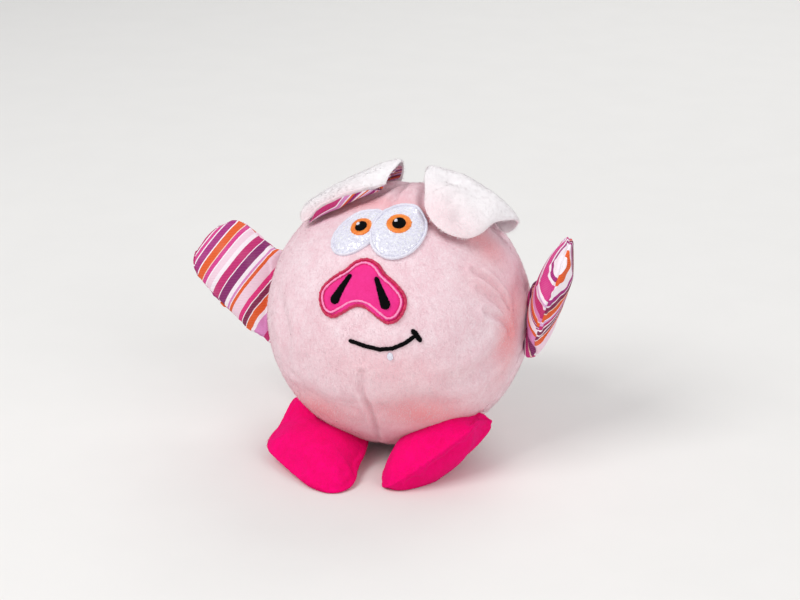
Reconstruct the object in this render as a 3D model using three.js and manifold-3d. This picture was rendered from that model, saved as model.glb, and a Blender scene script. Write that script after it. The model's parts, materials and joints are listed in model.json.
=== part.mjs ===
// A ball-shaped plush pig dog toy: a two-panel plush ball with a squeaker in its stuffing, a felt snout and an
// embroidered face, and six sewn-on limbs (striped arms, plush feet, plush ears lined with striped cloth).
// Millimetres, +Z up. The origin is where the ball rests on the floor, the face looks along -Y, and the toy's
// left is +X. The ball sits tipped back: its upright axis leans towards +Y.
import * as THREE from "three";
import { mergeVertices } from "three/addons/utils/BufferGeometryUtils.js";
import Module from "manifold-3d";

const wasm = await Module();
wasm.setup();

// Ball
const BALL_RADIUS = 64;
const BALL_LEAN = 22;
const REST_DEPTH = 0.5;
const COVER_THICKNESS = 2;
const CLEARANCE = 0.3;
const TOP_DART = { from: 53, to: 88 };
const BOTTOM_DART = { from: -88, to: -40 };
const DART_WIDTH = 0.8;
const DART_DEPTH = 1;

// Squeaker, in a pocket of the stuffing with a slit to the back
const BULB_RADIUS = 20;
const BULB_HALF_HEIGHT = 13;
const BULB_WALL = 1.2;
const NECK_RADIUS = 7;
const NECK_LENGTH = 5;
const REED_BORE_RADIUS = 1.5;
const SLIT_WIDTH = 30;
const SLIT_HEIGHT = 6;

// Face, on a chart whose middle lies FACE_PITCH above the ball's front: x towards the toy's left, y up
const FACE_PITCH = 15;
const PATCH_THICKNESS = 0.8;
const FELT_THICKNESS = 1.2;
const THREAD_HEIGHT = 0.6;
const BORDER_WIDTH = 1.5;
const BORDER_HEIGHT = 1.5;
const STITCH_LINE_INSET = 2.7;
const STITCH_LINE_WIDTH = 0.7;
const SNOUT_OFFSET = -0.8;
const SNOUT_HALF = [
  [0, 7.2],
  [5.5, 5.4],
  [9.8, 1.2],
  [15.8, -2.9],
  [20.6, -8],
  [21.3, -13.6],
  [18.6, -19.6],
  [13.4, -21.9],
  [8, -19.4],
  [3.6, -16.6],
  [0, -15.8],
];
const NOSTRIL = { top: [5.7, -2.2], bottom: [12.9, -13.6], topRadius: 0.8, bottomRadius: 1.7 };
const MOUTH_LINE = [
  [-5.2, -31.3],
  [3.3, -33.2],
  [10.4, -33.9],
  [16.4, -32.6],
  [21.9, -29.4],
  [24.6, -26.9],
];
const MOUTH_WIDTH = 1.8;
const CHEEK_TICK = [
  [24.4, -22.9],
  [26.9, -24.6],
  [29.3, -27.2],
];
const TICK_WIDTH = 2.3;
const TOOTH = { x: 15.6, y: -36.5, halfWidth: 1.6, halfHeight: 2, tilt: -12 };
const EYES = {
  right: {
    patch: { x: -9.3, y: 21.6, halfWidth: 10.6, halfHeight: 15.4, tilt: -35 },
    iris: { x: -7.7, y: 22.8, radius: 5.2 },
    pupil: { x: -7.8, y: 22.9, radius: 2.9 },
    glint: { x: -9.3, y: 23.8, radius: 0.9 },
  },
  left: {
    patch: { x: 9.9, y: 24.4, halfWidth: 12.9, halfHeight: 16.8, tilt: -9 },
    iris: { x: 9.6, y: 26.2, radius: 5.7 },
    pupil: { x: 9.5, y: 26.3, radius: 3.2 },
    glint: { x: 8, y: 27, radius: 0.95 },
  },
};

// Limbs, each drawn flat as if it stood straight out from the side seam: x out, y up along the seam
const LIMB_CLEARANCE = 0.8;
const SEAM_GAP = 0.5;
const WADDING_CLEARANCE = 1.6;
const HINGE_DEPTH = 2;
const TWILL_THICKNESS = 0.8;
const ARM_PUFF = 10;
const ARM_BARE_LENGTH = 12;
const ARM_OUTLINE = [
  [-2, 22.5],
  [3, 25.3],
  [11.4, 29.9],
  [19.5, 35.6],
  [26, 37.2],
  [33, 34],
  [39.5, 28.5],
  [44, 21],
  [45.4, 14.5],
  [42.5, 7.5],
  [36, 1],
  [25.7, -7.2],
  [12.4, -16.2],
  [4, -19.8],
  [-2, -21.5],
];
const ARM_POSES = {
  right: { latitude: 0, bend: 40, reach: 1, turn: [0, 0, 0], range: [-20, 20] },
  left: { latitude: 4, bend: 12, reach: 0.84, turn: [-50, -67, -17], range: [-5, 30] },
};
const FOOT_PLUSH_THICKNESS = 1.8;
const FOOT_RANGE = [-5, 10];
const FOOT_OUTLINE = [
  [2, -15],
  [8, -19.5],
  [18, -21.5],
  [37, -21.5],
  [48, -22.5],
  [56, -19.5],
  [59, -13.5],
  [56, -4.5],
  [49, 4.5],
  [38, 16],
  [29, 23.5],
  [18, 24.5],
  [8, 22.5],
  [0, 21],
];
const FOOT_POSES = {
  right: { latitude: -65, swing: 62, bend: 12, heading: -4, roll: 2, dip: 9, reach: 0.92, puffs: [12.5, 10] },
  left: { latitude: -65, swing: 88, bend: 24, heading: 3, roll: 34, dip: 0, reach: 0.73, puffs: [14.5, 12] },
};

// Ears, each drawn flat as latitude on the side seam and length from the seam, and bent along a profile of
// forward distance and height above the ball
const EAR_PLUSH_THICKNESS = 1.6;
const EAR_RANGE = [0, 40];
const EAR_INNER_LATITUDE = 84;
const EAR_OUTER_LATITUDE = 43;
const EAR_OUTLINE = [
  [EAR_INNER_LATITUDE, 0],
  [83, 14],
  [80, 28],
  [75, 40],
  [69, 51],
  [60, 56],
  [50, 55],
  [43.5, 49],
  [42.5, 40],
  [44.5, 28],
  [43, 14],
  [EAR_OUTER_LATITUDE, 0],
];
const EAR_LYING_HEIGHT = 3.4;
const EAR_POSES = {
  right: {
    innerRise: 1.4,
    outerRise: 0.9,
    profile: [
      [0, 0.6],
      [-1, 3.5],
      [2, 6.2],
      [9, 7],
      [18, 7.4],
      [28, 8.6],
      [38, 10.5],
      [47, 12.8],
    ],
  },
  left: {
    innerRise: 0.5,
    outerRise: 1.1,
    profile: [
      [0, 0.6],
      [-0.5, 4.6],
      [3, 8],
      [10, 8.2],
      [18, 6.4],
      [27, 4.4],
      [38, 3.4],
      [49, 3.4],
    ],
  },
};

// Finishes
const finish = (color, roughness, metalness = 0) =>
  new THREE.MeshStandardMaterial({ color, roughness, metalness });
const PINK_PLUSH = finish(0xe8c8cd, 0.95);
const HOT_PINK_PLUSH = finish(0xff0073, 0.9);
const WHITE_PLUSH = finish(0xf2eeee, 0.95);
const STRIPED_TWILL = finish(0xd2467f, 0.8);
const SNOUT_FELT = finish(0xff1991, 0.9);
const RASPBERRY_THREAD = finish(0xd71e5f, 0.6);
const PALE_THREAD = finish(0xff8fc0, 0.6);
const BLACK_THREAD = finish(0x0a0a0c, 0.5);
const WHITE_THREAD = finish(0xf4f2fa, 0.5);
const GLITTER_CLOTH = finish(0xe9e7f2, 0.45);
const ORANGE_THREAD = finish(0xf57a12, 0.5);
const POLYESTER_FIBRE = finish(0xf4f4f4, 1);
const SQUEAKER_PLASTIC = finish(0xeeeeea, 0.5);

const radians = THREE.MathUtils.degToRad;
const SIDES = { right: -1, left: 1 };

// Solids

// The geometry as one closed surface with its faces pointing out, without the empty triangles of a pole.
function closed(geometry) {
  const bare = geometry.clone();
  bare.deleteAttribute("normal");
  bare.deleteAttribute("uv");
  const merged = mergeVertices(bare, 1e-4);
  const corner = (i) => new THREE.Vector3().fromBufferAttribute(merged.getAttribute("position"), i);
  const faces = [];
  let volume = 0;
  for (let i = 0; i < merged.index.count; i += 3) {
    const face = [0, 1, 2].map((k) => merged.index.getX(i + k));
    if (new Set(face).size < 3) continue;
    const [a, b, c] = face.map(corner);
    volume += a.dot(b.cross(c));
    faces.push(face);
  }
  merged.setIndex(faces.flatMap(([a, b, c]) => (volume < 0 ? [a, c, b] : [a, b, c])));
  return merged;
}

function toSolid(geometry) {
  const mesh = closed(geometry);
  return new wasm.Manifold(
    new wasm.Mesh({
      numProp: 3,
      vertProperties: Float32Array.from(mesh.getAttribute("position").array),
      triVerts: Uint32Array.from(mesh.index.array),
    }),
  );
}

function cut(geometry, ...tools) {
  const mesh = tools.reduce((rest, tool) => rest.subtract(toSolid(tool)), toSolid(geometry)).getMesh();
  const result = new THREE.BufferGeometry();
  result.setAttribute("position", new THREE.BufferAttribute(mesh.vertProperties, 3));
  result.setIndex(new THREE.BufferAttribute(mesh.triVerts, 1));
  return result;
}

// Moves every point of a blank.
function warp(geometry, move) {
  const points = geometry.getAttribute("position");
  for (let i = 0; i < points.count; i++) {
    const p = move(new THREE.Vector3().fromBufferAttribute(points, i));
    points.setXYZ(i, p.x, p.y, p.z);
  }
  return geometry;
}

const steps = (count) => Array.from({ length: count + 1 }, (_, i) => i / count);
const lathe = (profile, spokes) =>
  new THREE.LatheGeometry(
    profile.map(([x, y]) => new THREE.Vector2(x, y)),
    spokes,
  );

// A round blank of radius 1 with one skin at y = 1 and one at y = 0, and an edge between them.
const slabBlank = (rings, spokes) =>
  lathe([...steps(rings).map((k) => [k, 0]), ...steps(rings).reverse().map((k) => [k, 1])], spokes);

// The same with rings that crowd towards the rim, for domes, and with skins that meet there if it is a lens.
function domeBlank(rings, spokes, lens = false) {
  const radii = steps(rings).map((t) => Math.sin((t * Math.PI) / 2));
  const lower = radii.map((k) => [k, 0]);
  const upper = radii.map((k) => [k, 1]).reverse();
  return lathe(lens ? [...lower.slice(0, -1), [1, 0.5], ...upper.slice(1)] : [...lower, ...upper], spokes);
}

// A ring blank with a rounded top, from radius 1 to radius 2.
const ringBlank = (spokes) =>
  lathe([[1, 0], [2, 0], [2, 0.7], [1.5, 1], [1, 0.7], [1, 0]], spokes);

// A closed outline, as the point at a share of the way from its middle to a place that far inside its rim.
function outlineOf(curve, spokes) {
  const points = curve.getSpacedPoints(spokes).slice(0, spokes);
  const middle = points.reduce((sum, p) => sum.add(p), new THREE.Vector2()).divideScalar(spokes);
  const at = (blankPoint, share, inset = 0) => {
    const turn = Math.atan2(blankPoint.x, blankPoint.z) / (2 * Math.PI);
    const spoke = points[Math.round((turn + 1) * spokes) % spokes].clone().sub(middle);
    return spoke.setLength((spoke.length() - inset) * share).add(middle);
  };
  return { at, spokes };
}

function loop(points) {
  const path = new THREE.Path();
  path.moveTo(...points[0]);
  path.splineThru(points.slice(1).map(([x, y]) => new THREE.Vector2(x, y)));
  return path.closePath();
}

const ellipse = ({ x, y, halfWidth, halfHeight, tilt }) =>
  new THREE.EllipseCurve(x, y, halfWidth, halfHeight, 0, 2 * Math.PI, false, radians(tilt));

// Frames

const object = new THREE.Group();
const ball = new THREE.Group();
ball.position.z = BALL_RADIUS - REST_DEPTH;
ball.rotation.x = -radians(BALL_LEAN);
object.add(ball);
object.updateMatrixWorld(true);
const toBall = ball.matrixWorld.clone().invert();
const floor = new THREE.BoxGeometry(400, 400, 20).translate(0, 0, -10).applyMatrix4(toBall);

// A point of the face chart, at a height above the plush.
function onFace({ x, y }, height) {
  const angle = Math.hypot(x, y) / BALL_RADIUS;
  const heading = Math.atan2(y, x);
  const sideways = Math.sin(angle) * Math.cos(heading);
  const upwards = Math.sin(angle) * Math.sin(heading);
  return new THREE.Vector3(sideways, -Math.cos(angle), upwards)
    .applyAxisAngle(new THREE.Vector3(1, 0, 0), -radians(FACE_PITCH))
    .multiplyScalar(BALL_RADIUS + height);
}

function addMesh(parent, name, geometry, material) {
  const mesh = new THREE.Mesh(closed(geometry), material);
  mesh.name = name;
  parent.add(mesh);
}

const globe = (radius, across, up) => new THREE.SphereGeometry(radius, across, up).rotateX(Math.PI / 2);

// Ball cover, stuffing and squeaker

// The blade that presses a dart's seam into the front panel, between two latitudes.
function dartBlade({ from, to }) {
  const blade = new THREE.Shape();
  blade.absarc(0, 0, BALL_RADIUS + 1, radians(from), radians(to), false);
  blade.absarc(0, 0, BALL_RADIUS - DART_DEPTH, radians(to), radians(from), true);
  const frontward = new THREE.Vector3(0, -1, 0);
  const upward = new THREE.Vector3(0, 0, 1);
  const basis = new THREE.Matrix4().makeBasis(frontward, upward, frontward.clone().cross(upward));
  return new THREE.ExtrudeGeometry(blade, { depth: DART_WIDTH, bevelEnabled: false, curveSegments: 8 })
    .translate(0, 0, -DART_WIDTH / 2)
    .applyMatrix4(basis);
}

// One half of the cover: a plush shell whose rim keeps half the clearance to the side seam.
function coverHalf(towards) {
  const otherHalf = new THREE.BoxGeometry(200, 200, 200).translate(0, -towards * (100 - CLEARANCE / 2), 0);
  return cut(globe(BALL_RADIUS, 40, 26), globe(BALL_RADIUS - COVER_THICKNESS, 24, 16), otherHalf, floor);
}

// The squeaker's outline, grown on all sides, up to its neck's mouth. Its axis is y, and its neck points back.
function squeakerOutline(grow) {
  const neck = NECK_RADIUS + grow;
  const lastTurn = Math.acos(neck / (BULB_RADIUS + grow));
  const bulb = steps(7).map((t) => {
    const angle = THREE.MathUtils.lerp(-Math.PI / 2, lastTurn, t);
    return [(BULB_RADIUS + grow) * Math.cos(angle), (BULB_HALF_HEIGHT + grow) * Math.sin(angle)];
  });
  return [...bulb, [neck, BULB_HALF_HEIGHT + NECK_LENGTH]];
}

addMesh(ball, "front_cover", cut(coverHalf(-1), dartBlade(TOP_DART), dartBlade(BOTTOM_DART)), PINK_PLUSH);
addMesh(ball, "back_cover", coverHalf(1), PINK_PLUSH);

const neckEnd = BULB_HALF_HEIGHT + NECK_LENGTH;
const pocketEnd = neckEnd + 1;
const pocket = [...squeakerOutline(CLEARANCE), [NECK_RADIUS + CLEARANCE, pocketEnd], [0, pocketEnd]];
const slit = new THREE.BoxGeometry(SLIT_WIDTH, BALL_RADIUS, SLIT_HEIGHT).translate(0, BALL_RADIUS / 2 + 10, 0);
const stuffingBall = globe(BALL_RADIUS - COVER_THICKNESS - CLEARANCE, 24, 16);
addMesh(ball, "stuffing", cut(stuffingBall, lathe(pocket, 20), slit, floor), POLYESTER_FIBRE);
const bulbShell = [...squeakerOutline(0), ...squeakerOutline(-BULB_WALL).reverse()];
addMesh(ball, "squeaker_bulb", lathe(bulbShell, 20), SQUEAKER_PLASTIC);
const reedRadius = NECK_RADIUS - BULB_WALL - CLEARANCE;
const reed = [
  [REED_BORE_RADIUS, neckEnd - NECK_LENGTH],
  [reedRadius, neckEnd - NECK_LENGTH],
  [reedRadius, neckEnd],
  [REED_BORE_RADIUS, neckEnd],
  [REED_BORE_RADIUS, neckEnd - NECK_LENGTH],
];
addMesh(ball, "squeaker_reed", lathe(reed, 20), SQUEAKER_PLASTIC);

// Face

// A flat piece that follows the ball, between two heights.
function applique(curve, from, to, { rings = 2, spokes = 24, inset = 0 } = {}) {
  const outline = outlineOf(curve, spokes);
  return warp(slabBlank(rings, spokes), (p) =>
    onFace(outline.at(p, Math.hypot(p.x, p.z), inset), THREE.MathUtils.lerp(from, to, p.y)),
  );
}

// A line of thread along a closed outline, that far inside it.
function edging(curve, inset, width, from, to, spokes = 24) {
  const outline = outlineOf(curve, spokes);
  return warp(ringBlank(spokes), (p) => {
    const share = 2 - Math.hypot(p.x, p.z);
    return onFace(outline.at(p, 1, inset + width * share), THREE.MathUtils.lerp(from, to, p.y));
  });
}

// A line of thread along an open one.
function stroke(points, width, from, to, segments) {
  const curve = new THREE.SplineCurve(points.map(([x, y]) => new THREE.Vector2(x, y)));
  return warp(new THREE.BoxGeometry(1, 1, 1, segments, 2, 1), (p) => {
    const along = curve.getTangent(p.x + 0.5);
    const across = new THREE.Vector2(-along.y, along.x).multiplyScalar(p.y * width);
    return onFace(curve.getPoint(p.x + 0.5).add(across), THREE.MathUtils.lerp(from, to, p.z + 0.5));
  });
}

const snoutCurve = loop([
  ...SNOUT_HALF.map(([x, y]) => [SNOUT_OFFSET + x, y]),
  ...SNOUT_HALF.slice(1, -1).reverse().map(([x, y]) => [SNOUT_OFFSET - x, y]),
]);
const onPlush = CLEARANCE;
const onFelt = CLEARANCE + FELT_THICKNESS + CLEARANCE;
const onPatch = CLEARANCE + PATCH_THICKNESS + CLEARANCE;
const inBorder = { rings: 2, spokes: 32, inset: BORDER_WIDTH + CLEARANCE };
addMesh(ball, "snout_patch", applique(snoutCurve, onPlush, onPlush + FELT_THICKNESS, inBorder), SNOUT_FELT);
addMesh(
  ball,
  "snout_border",
  edging(snoutCurve, 0, BORDER_WIDTH, onPlush, onPlush + BORDER_HEIGHT, 32),
  RASPBERRY_THREAD,
);
addMesh(
  ball,
  "snout_stitch_line",
  edging(snoutCurve, STITCH_LINE_INSET, STITCH_LINE_WIDTH, onFelt, onFelt + THREAD_HEIGHT, 32),
  PALE_THREAD,
);

// A nostril's outline: a drop with a small round top and a larger round bottom.
function drop(towards) {
  const top = new THREE.Vector2(SNOUT_OFFSET + towards * NOSTRIL.top[0], NOSTRIL.top[1]);
  const bottom = new THREE.Vector2(SNOUT_OFFSET + towards * NOSTRIL.bottom[0], NOSTRIL.bottom[1]);
  const axis = top.clone().sub(bottom).angle();
  const path = new THREE.Path();
  path.absarc(top.x, top.y, NOSTRIL.topRadius, axis - Math.PI / 2, axis + Math.PI / 2, false);
  path.absarc(bottom.x, bottom.y, NOSTRIL.bottomRadius, axis + Math.PI / 2, axis + 1.5 * Math.PI, false);
  return path.closePath();
}

for (const [where, towards] of Object.entries(SIDES)) {
  const nostril = applique(drop(towards), onFelt, onFelt + THREAD_HEIGHT, { rings: 1, spokes: 20 });
  addMesh(ball, `nostril_${where}`, nostril, BLACK_THREAD);
}

addMesh(ball, "mouth", stroke(MOUTH_LINE, MOUTH_WIDTH, onPlush, onPlush + THREAD_HEIGHT, 10), BLACK_THREAD);
addMesh(ball, "cheek_tick", stroke(CHEEK_TICK, TICK_WIDTH, onPlush, onPlush + THREAD_HEIGHT, 4), BLACK_THREAD);
addMesh(
  ball,
  "tooth",
  applique(ellipse(TOOTH), onPlush, onPlush + THREAD_HEIGHT, { rings: 1, spokes: 12 }),
  WHITE_THREAD,
);

const circle = ({ x, y, radius }) => ellipse({ x, y, halfWidth: radius, halfHeight: radius, tilt: 0 });

// The left eye's patch lies over the right one's, whose cloth ends there.
const { halfWidth, halfHeight } = EYES.left.patch;
const leftEye = { ...EYES.left.patch, halfWidth: halfWidth + CLEARANCE, halfHeight: halfHeight + CLEARANCE };
const leftEyeBlade = applique(ellipse(leftEye), -1, onPlush + BORDER_HEIGHT + 1, { spokes: 32 });

for (const [where, eye] of Object.entries(EYES)) {
  const rim = ellipse(eye.patch);
  const trim = (geometry) => (where === "right" ? cut(geometry, leftEyeBlade) : geometry);
  const cloth = applique(rim, onPlush, onPlush + PATCH_THICKNESS, inBorder);
  const border = edging(rim, 0, BORDER_WIDTH, onPlush, onPlush + BORDER_HEIGHT, 32);
  addMesh(ball, `eye_patch_${where}`, trim(cloth), GLITTER_CLOTH);
  addMesh(ball, `eye_border_${where}`, trim(border), WHITE_THREAD);
  const threadTop = onPatch + THREAD_HEIGHT;
  const irisWidth = eye.iris.radius - eye.pupil.radius - 2 * CLEARANCE;
  const iris = edging(circle(eye.iris), 0, irisWidth, onPatch, threadTop);
  addMesh(ball, `iris_${where}`, trim(iris), ORANGE_THREAD);
  const pupil = applique(circle(eye.pupil), onPatch, threadTop, { rings: 1, spokes: 20 });
  addMesh(ball, `pupil_${where}`, pupil, BLACK_THREAD);
  const onPupil = threadTop + CLEARANCE;
  const glint = applique(circle(eye.glint), onPupil, onPupil + THREAD_HEIGHT / 2, { rings: 1, spokes: 10 });
  addMesh(ball, `glint_${where}`, glint, WHITE_THREAD);
}

// Limbs: all are worked out on the toy's left, and mirrored for its right

const mirrored = (geometry, towards) => geometry.scale(towards, 1, 1);

// A limb's base on the side seam: x straight out, y up along the seam, z to the front.
function seamBasis(latitude) {
  const lat = radians(latitude);
  const out = new THREE.Vector3(Math.cos(lat), 0, Math.sin(lat));
  const up = new THREE.Vector3(-Math.sin(lat), 0, Math.cos(lat));
  return new THREE.Matrix4().makeBasis(out, up, out.clone().cross(up));
}

const turnOf = (basis) => new THREE.Quaternion().setFromRotationMatrix(basis);

// The way that a limb takes from its base: its frame turns from one attitude to another over the bend's length.
function bentWay(latitude, start, end, bend, reach) {
  const turnAt = (x) => start.clone().slerp(end, THREE.MathUtils.smoothstep(x, 0, bend));
  const places = [new THREE.Vector3(BALL_RADIUS, 0, 0).applyMatrix4(seamBasis(latitude))];
  for (let x = 0; x < 70; x++) {
    const stride = new THREE.Vector3(reach, 0, 0).applyQuaternion(turnAt(x + 0.5));
    places.push(places.at(-1).clone().add(stride));
  }
  return ({ x, y }, z) => {
    const whole = THREE.MathUtils.clamp(Math.floor(x), 0, places.length - 1);
    return new THREE.Vector3((x - whole) * reach, y, z).applyQuaternion(turnAt(x)).add(places[whole]);
  };
}

// The ball as the limb meets it, while the limb turns outwards about its hinge through its range of degrees.
function ballSweep(latitude, range) {
  const basis = seamBasis(latitude);
  const depth = BALL_RADIUS - HINGE_DEPTH;
  return steps(4).map((t) => {
    const angle = -radians(THREE.MathUtils.lerp(range[0], range[1], t));
    const spin = new THREE.Matrix4()
      .makeTranslation(depth, 0, 0)
      .multiply(new THREE.Matrix4().makeRotationY(angle))
      .multiply(new THREE.Matrix4().makeTranslation(-depth, 0, 0));
    const turn = basis.clone().multiply(spin).multiply(basis.clone().invert());
    return globe(BALL_RADIUS + LIMB_CLEARANCE, 32, 20).applyMatrix4(turn);
  });
}

// A stuffed pouch of two cloths, each a bowl on its side of the seam, and the wadding in the stuffed part of it.
function pouch(outline, way, thickness, puffs, stuffed = outline) {
  const bulge = (share) => (1 - Math.min(share, 1) ** 2) ** 0.55;
  const half = SEAM_GAP / 2;
  const cloth = (puff, facing) =>
    warp(domeBlank(4, outline.spokes), (p) => {
      const share = Math.hypot(p.x, p.z);
      const depth = (1 - p.y) * thickness;
      return way(outline.at(p, share, depth), facing * (half + (puff - depth) * bulge(share)));
    });
  const inner = thickness + WADDING_CLEARANCE;
  const wadding = warp(domeBlank(4, stuffed.spokes, true), (p) => {
    const share = Math.hypot(p.x, p.z);
    const puff = p.y > 0.5 ? puffs[0] - inner : inner - puffs[1];
    return way(stuffed.at(p, share, inner), p.y === 0.5 ? 0 : puff * bulge(share));
  });
  return { front: cloth(puffs[0], 1), back: cloth(puffs[1], -1), wadding };
}

for (const [where, towards] of Object.entries(SIDES)) {
  const { latitude, bend, reach, turn, range } = ARM_POSES[where];
  const start = turnOf(seamBasis(latitude));
  const end = start.clone().multiply(new THREE.Quaternion().setFromEuler(new THREE.Euler(...turn.map(radians))));
  const way = bentWay(latitude, start, end, bend, reach);
  const stuffed = outlineOf(loop(ARM_OUTLINE.filter(([x]) => x > ARM_BARE_LENGTH)), 24);
  const arm = pouch(outlineOf(loop(ARM_OUTLINE), 24), way, TWILL_THICKNESS, [ARM_PUFF, ARM_PUFF], stuffed);
  const sweep = ballSweep(latitude, range);
  addMesh(ball, `arm_${where}_front`, mirrored(cut(arm.front, ...sweep), towards), STRIPED_TWILL);
  addMesh(ball, `arm_${where}_back`, mirrored(cut(arm.back, ...sweep), towards), STRIPED_TWILL);
  addMesh(ball, `arm_${where}_wadding`, mirrored(cut(arm.wadding, ...sweep), towards), POLYESTER_FIBRE);
}

for (const [where, towards] of Object.entries(SIDES)) {
  const { latitude, swing, bend, heading, roll, dip, reach, puffs } = FOOT_POSES[where];
  const start = turnOf(seamBasis(latitude).multiply(new THREE.Matrix4().makeRotationY(-radians(swing))));
  const toes = new THREE.Vector3(Math.sin(radians(heading)), -Math.cos(radians(heading)), 0);
  const outward = new THREE.Vector3(-toes.y, toes.x, 0).applyAxisAngle(toes, radians(roll));
  toes.applyAxisAngle(outward, radians(dip));
  const flat = new THREE.Matrix4().makeBasis(toes, outward, toes.clone().cross(outward));
  const end = turnOf(new THREE.Matrix4().extractRotation(toBall).multiply(flat));
  const way = bentWay(latitude, start, end, bend, reach);
  const foot = pouch(outlineOf(loop(FOOT_OUTLINE), 24), way, FOOT_PLUSH_THICKNESS, puffs);
  const sweep = [floor, ...ballSweep(latitude, FOOT_RANGE)];
  addMesh(ball, `foot_${where}_upper`, mirrored(cut(foot.front, ...sweep), towards), HOT_PINK_PLUSH);
  addMesh(ball, `foot_${where}_sole`, mirrored(cut(foot.back, ...sweep), towards), HOT_PINK_PLUSH);
  addMesh(ball, `foot_${where}_wadding`, mirrored(cut(foot.wadding, ...sweep), towards), POLYESTER_FIBRE);
}

// Ears

// The place on an ear at a latitude and a length from the seam, that far to the plush side of its middle. Above the
// height at which an ear lies on the ball, its inner end rises to one share of the profile and its outer to another.
function earPlace({ profile, innerRise, outerRise }, latitude, length, offset) {
  const rise = THREE.MathUtils.mapLinear(latitude, EAR_INNER_LATITUDE, EAR_OUTER_LATITUDE, innerRise, outerRise);
  const middle = (share) => {
    const at = profile.getPointAt(THREE.MathUtils.clamp(share, 0, 1));
    at.y += Math.max(at.y - EAR_LYING_HEIGHT, 0) * (rise - 1);
    return at;
  };
  const share = length / profile.getLength();
  const along = middle(share + 0.01).sub(middle(share - 0.01)).normalize();
  const at = middle(share).add(new THREE.Vector2(-along.y, along.x).multiplyScalar(offset));
  const lat = radians(latitude);
  const frontAngle = at.x / BALL_RADIUS;
  return new THREE.Vector3(
    Math.cos(frontAngle) * Math.cos(lat),
    -Math.sin(frontAngle),
    Math.cos(frontAngle) * Math.sin(lat),
  ).multiplyScalar(BALL_RADIUS + at.y);
}

for (const [where, towards] of Object.entries(SIDES)) {
  const profile = new THREE.SplineCurve(EAR_POSES[where].profile.map(([x, y]) => new THREE.Vector2(x, y)));
  const outline = outlineOf(loop(EAR_OUTLINE), 24);
  const layer = (from, to) =>
    warp(domeBlank(5, outline.spokes), (p) => {
      const at = outline.at(p, Math.hypot(p.x, p.z));
      return earPlace({ ...EAR_POSES[where], profile }, at.x, at.y, THREE.MathUtils.lerp(from, to, p.y));
    });
  const half = SEAM_GAP / 2;
  const sweep = ballSweep((EAR_INNER_LATITUDE + EAR_OUTER_LATITUDE) / 2, EAR_RANGE);
  const plush = cut(layer(half, half + EAR_PLUSH_THICKNESS), ...sweep);
  const lining = cut(layer(-half, -half - TWILL_THICKNESS), ...sweep);
  addMesh(ball, `ear_${where}_plush`, mirrored(plush, towards), WHITE_PLUSH);
  addMesh(ball, `ear_${where}_lining`, mirrored(lining, towards), STRIPED_TWILL);
}

export default object;
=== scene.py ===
"""The looks of a ball-shaped plush pig dog toy.

Shapes are worked out in millimetres in the toy's own frame (x to the toy's left, y to its back, z to its crown) and
laid into the model's frame in metres. Each stuffed or sewn piece starts as a primitive blank, is bent to its place,
fills out in a cloth simulation where it is stuffed, and gets its seams, creases and pile afterwards.
"""

from __future__ import annotations

import json
import logging
import math
from dataclasses import dataclass
from enum import Enum
from typing import Callable, Sequence

import bpy
import numpy as np
from mathutils import Matrix, Quaternion, Vector
from mathutils.bvhtree import BVHTree
from mathutils.kdtree import KDTree

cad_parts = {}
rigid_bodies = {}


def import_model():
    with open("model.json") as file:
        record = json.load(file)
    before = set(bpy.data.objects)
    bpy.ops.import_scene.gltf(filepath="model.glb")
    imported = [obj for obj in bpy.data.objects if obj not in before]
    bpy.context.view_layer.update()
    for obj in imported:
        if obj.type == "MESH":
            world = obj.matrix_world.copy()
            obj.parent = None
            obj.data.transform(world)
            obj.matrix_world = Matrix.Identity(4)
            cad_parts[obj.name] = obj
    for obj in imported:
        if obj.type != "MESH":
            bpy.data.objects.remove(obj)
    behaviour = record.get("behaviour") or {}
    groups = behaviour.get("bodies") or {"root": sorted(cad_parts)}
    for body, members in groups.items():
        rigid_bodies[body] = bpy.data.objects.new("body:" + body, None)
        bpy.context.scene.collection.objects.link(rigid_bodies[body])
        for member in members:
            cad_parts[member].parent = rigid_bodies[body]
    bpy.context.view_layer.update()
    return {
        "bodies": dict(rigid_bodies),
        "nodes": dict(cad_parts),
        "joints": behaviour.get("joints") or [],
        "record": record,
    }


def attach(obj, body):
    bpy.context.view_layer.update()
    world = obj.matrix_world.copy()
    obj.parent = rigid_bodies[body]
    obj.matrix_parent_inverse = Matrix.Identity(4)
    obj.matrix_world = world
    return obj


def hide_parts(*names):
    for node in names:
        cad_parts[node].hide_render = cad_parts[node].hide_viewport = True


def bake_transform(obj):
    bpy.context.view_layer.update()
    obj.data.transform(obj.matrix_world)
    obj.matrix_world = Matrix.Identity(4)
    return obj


log = logging.getLogger("pig_toy")

Point2 = tuple[float, float]
Point3 = tuple[float, float, float]
Colour = tuple[float, float, float]

MM = 0.001
BALL_RADIUS = 64.0
BALL_HEIGHT = 63.5
BALL_LEAN = math.radians(22.0)
TO_WORLD = Matrix.Translation((0, 0, BALL_HEIGHT * MM)) @ Matrix.Rotation(-BALL_LEAN, 4, "X")
WORLD_TURN = np.array(TO_WORLD.to_3x3())
WORLD_SHIFT = np.array(TO_WORLD.translation)

FACE_PITCH = math.radians(15.0)
FACE_AHEAD = np.array([0, -math.cos(FACE_PITCH), math.sin(FACE_PITCH)])
FACE_UPWARD = np.array([0, math.sin(FACE_PITCH), math.cos(FACE_PITCH)])

CURVE_STEPS = 24
SWELL_FRAMES = 20
BLANK_SEGMENTS, BLANK_RINGS = 112, 56
EAR_ENDS = (43, 84)
FLOOR_GAP = 0.0003


class Side(Enum):
    """The toy's own right and left."""

    RIGHT = -1
    LEFT = 1

    @property
    def word(self) -> str:
        """The side's name as the model's nodes use it."""
        return self.name.lower()


# Shader helpers


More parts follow.
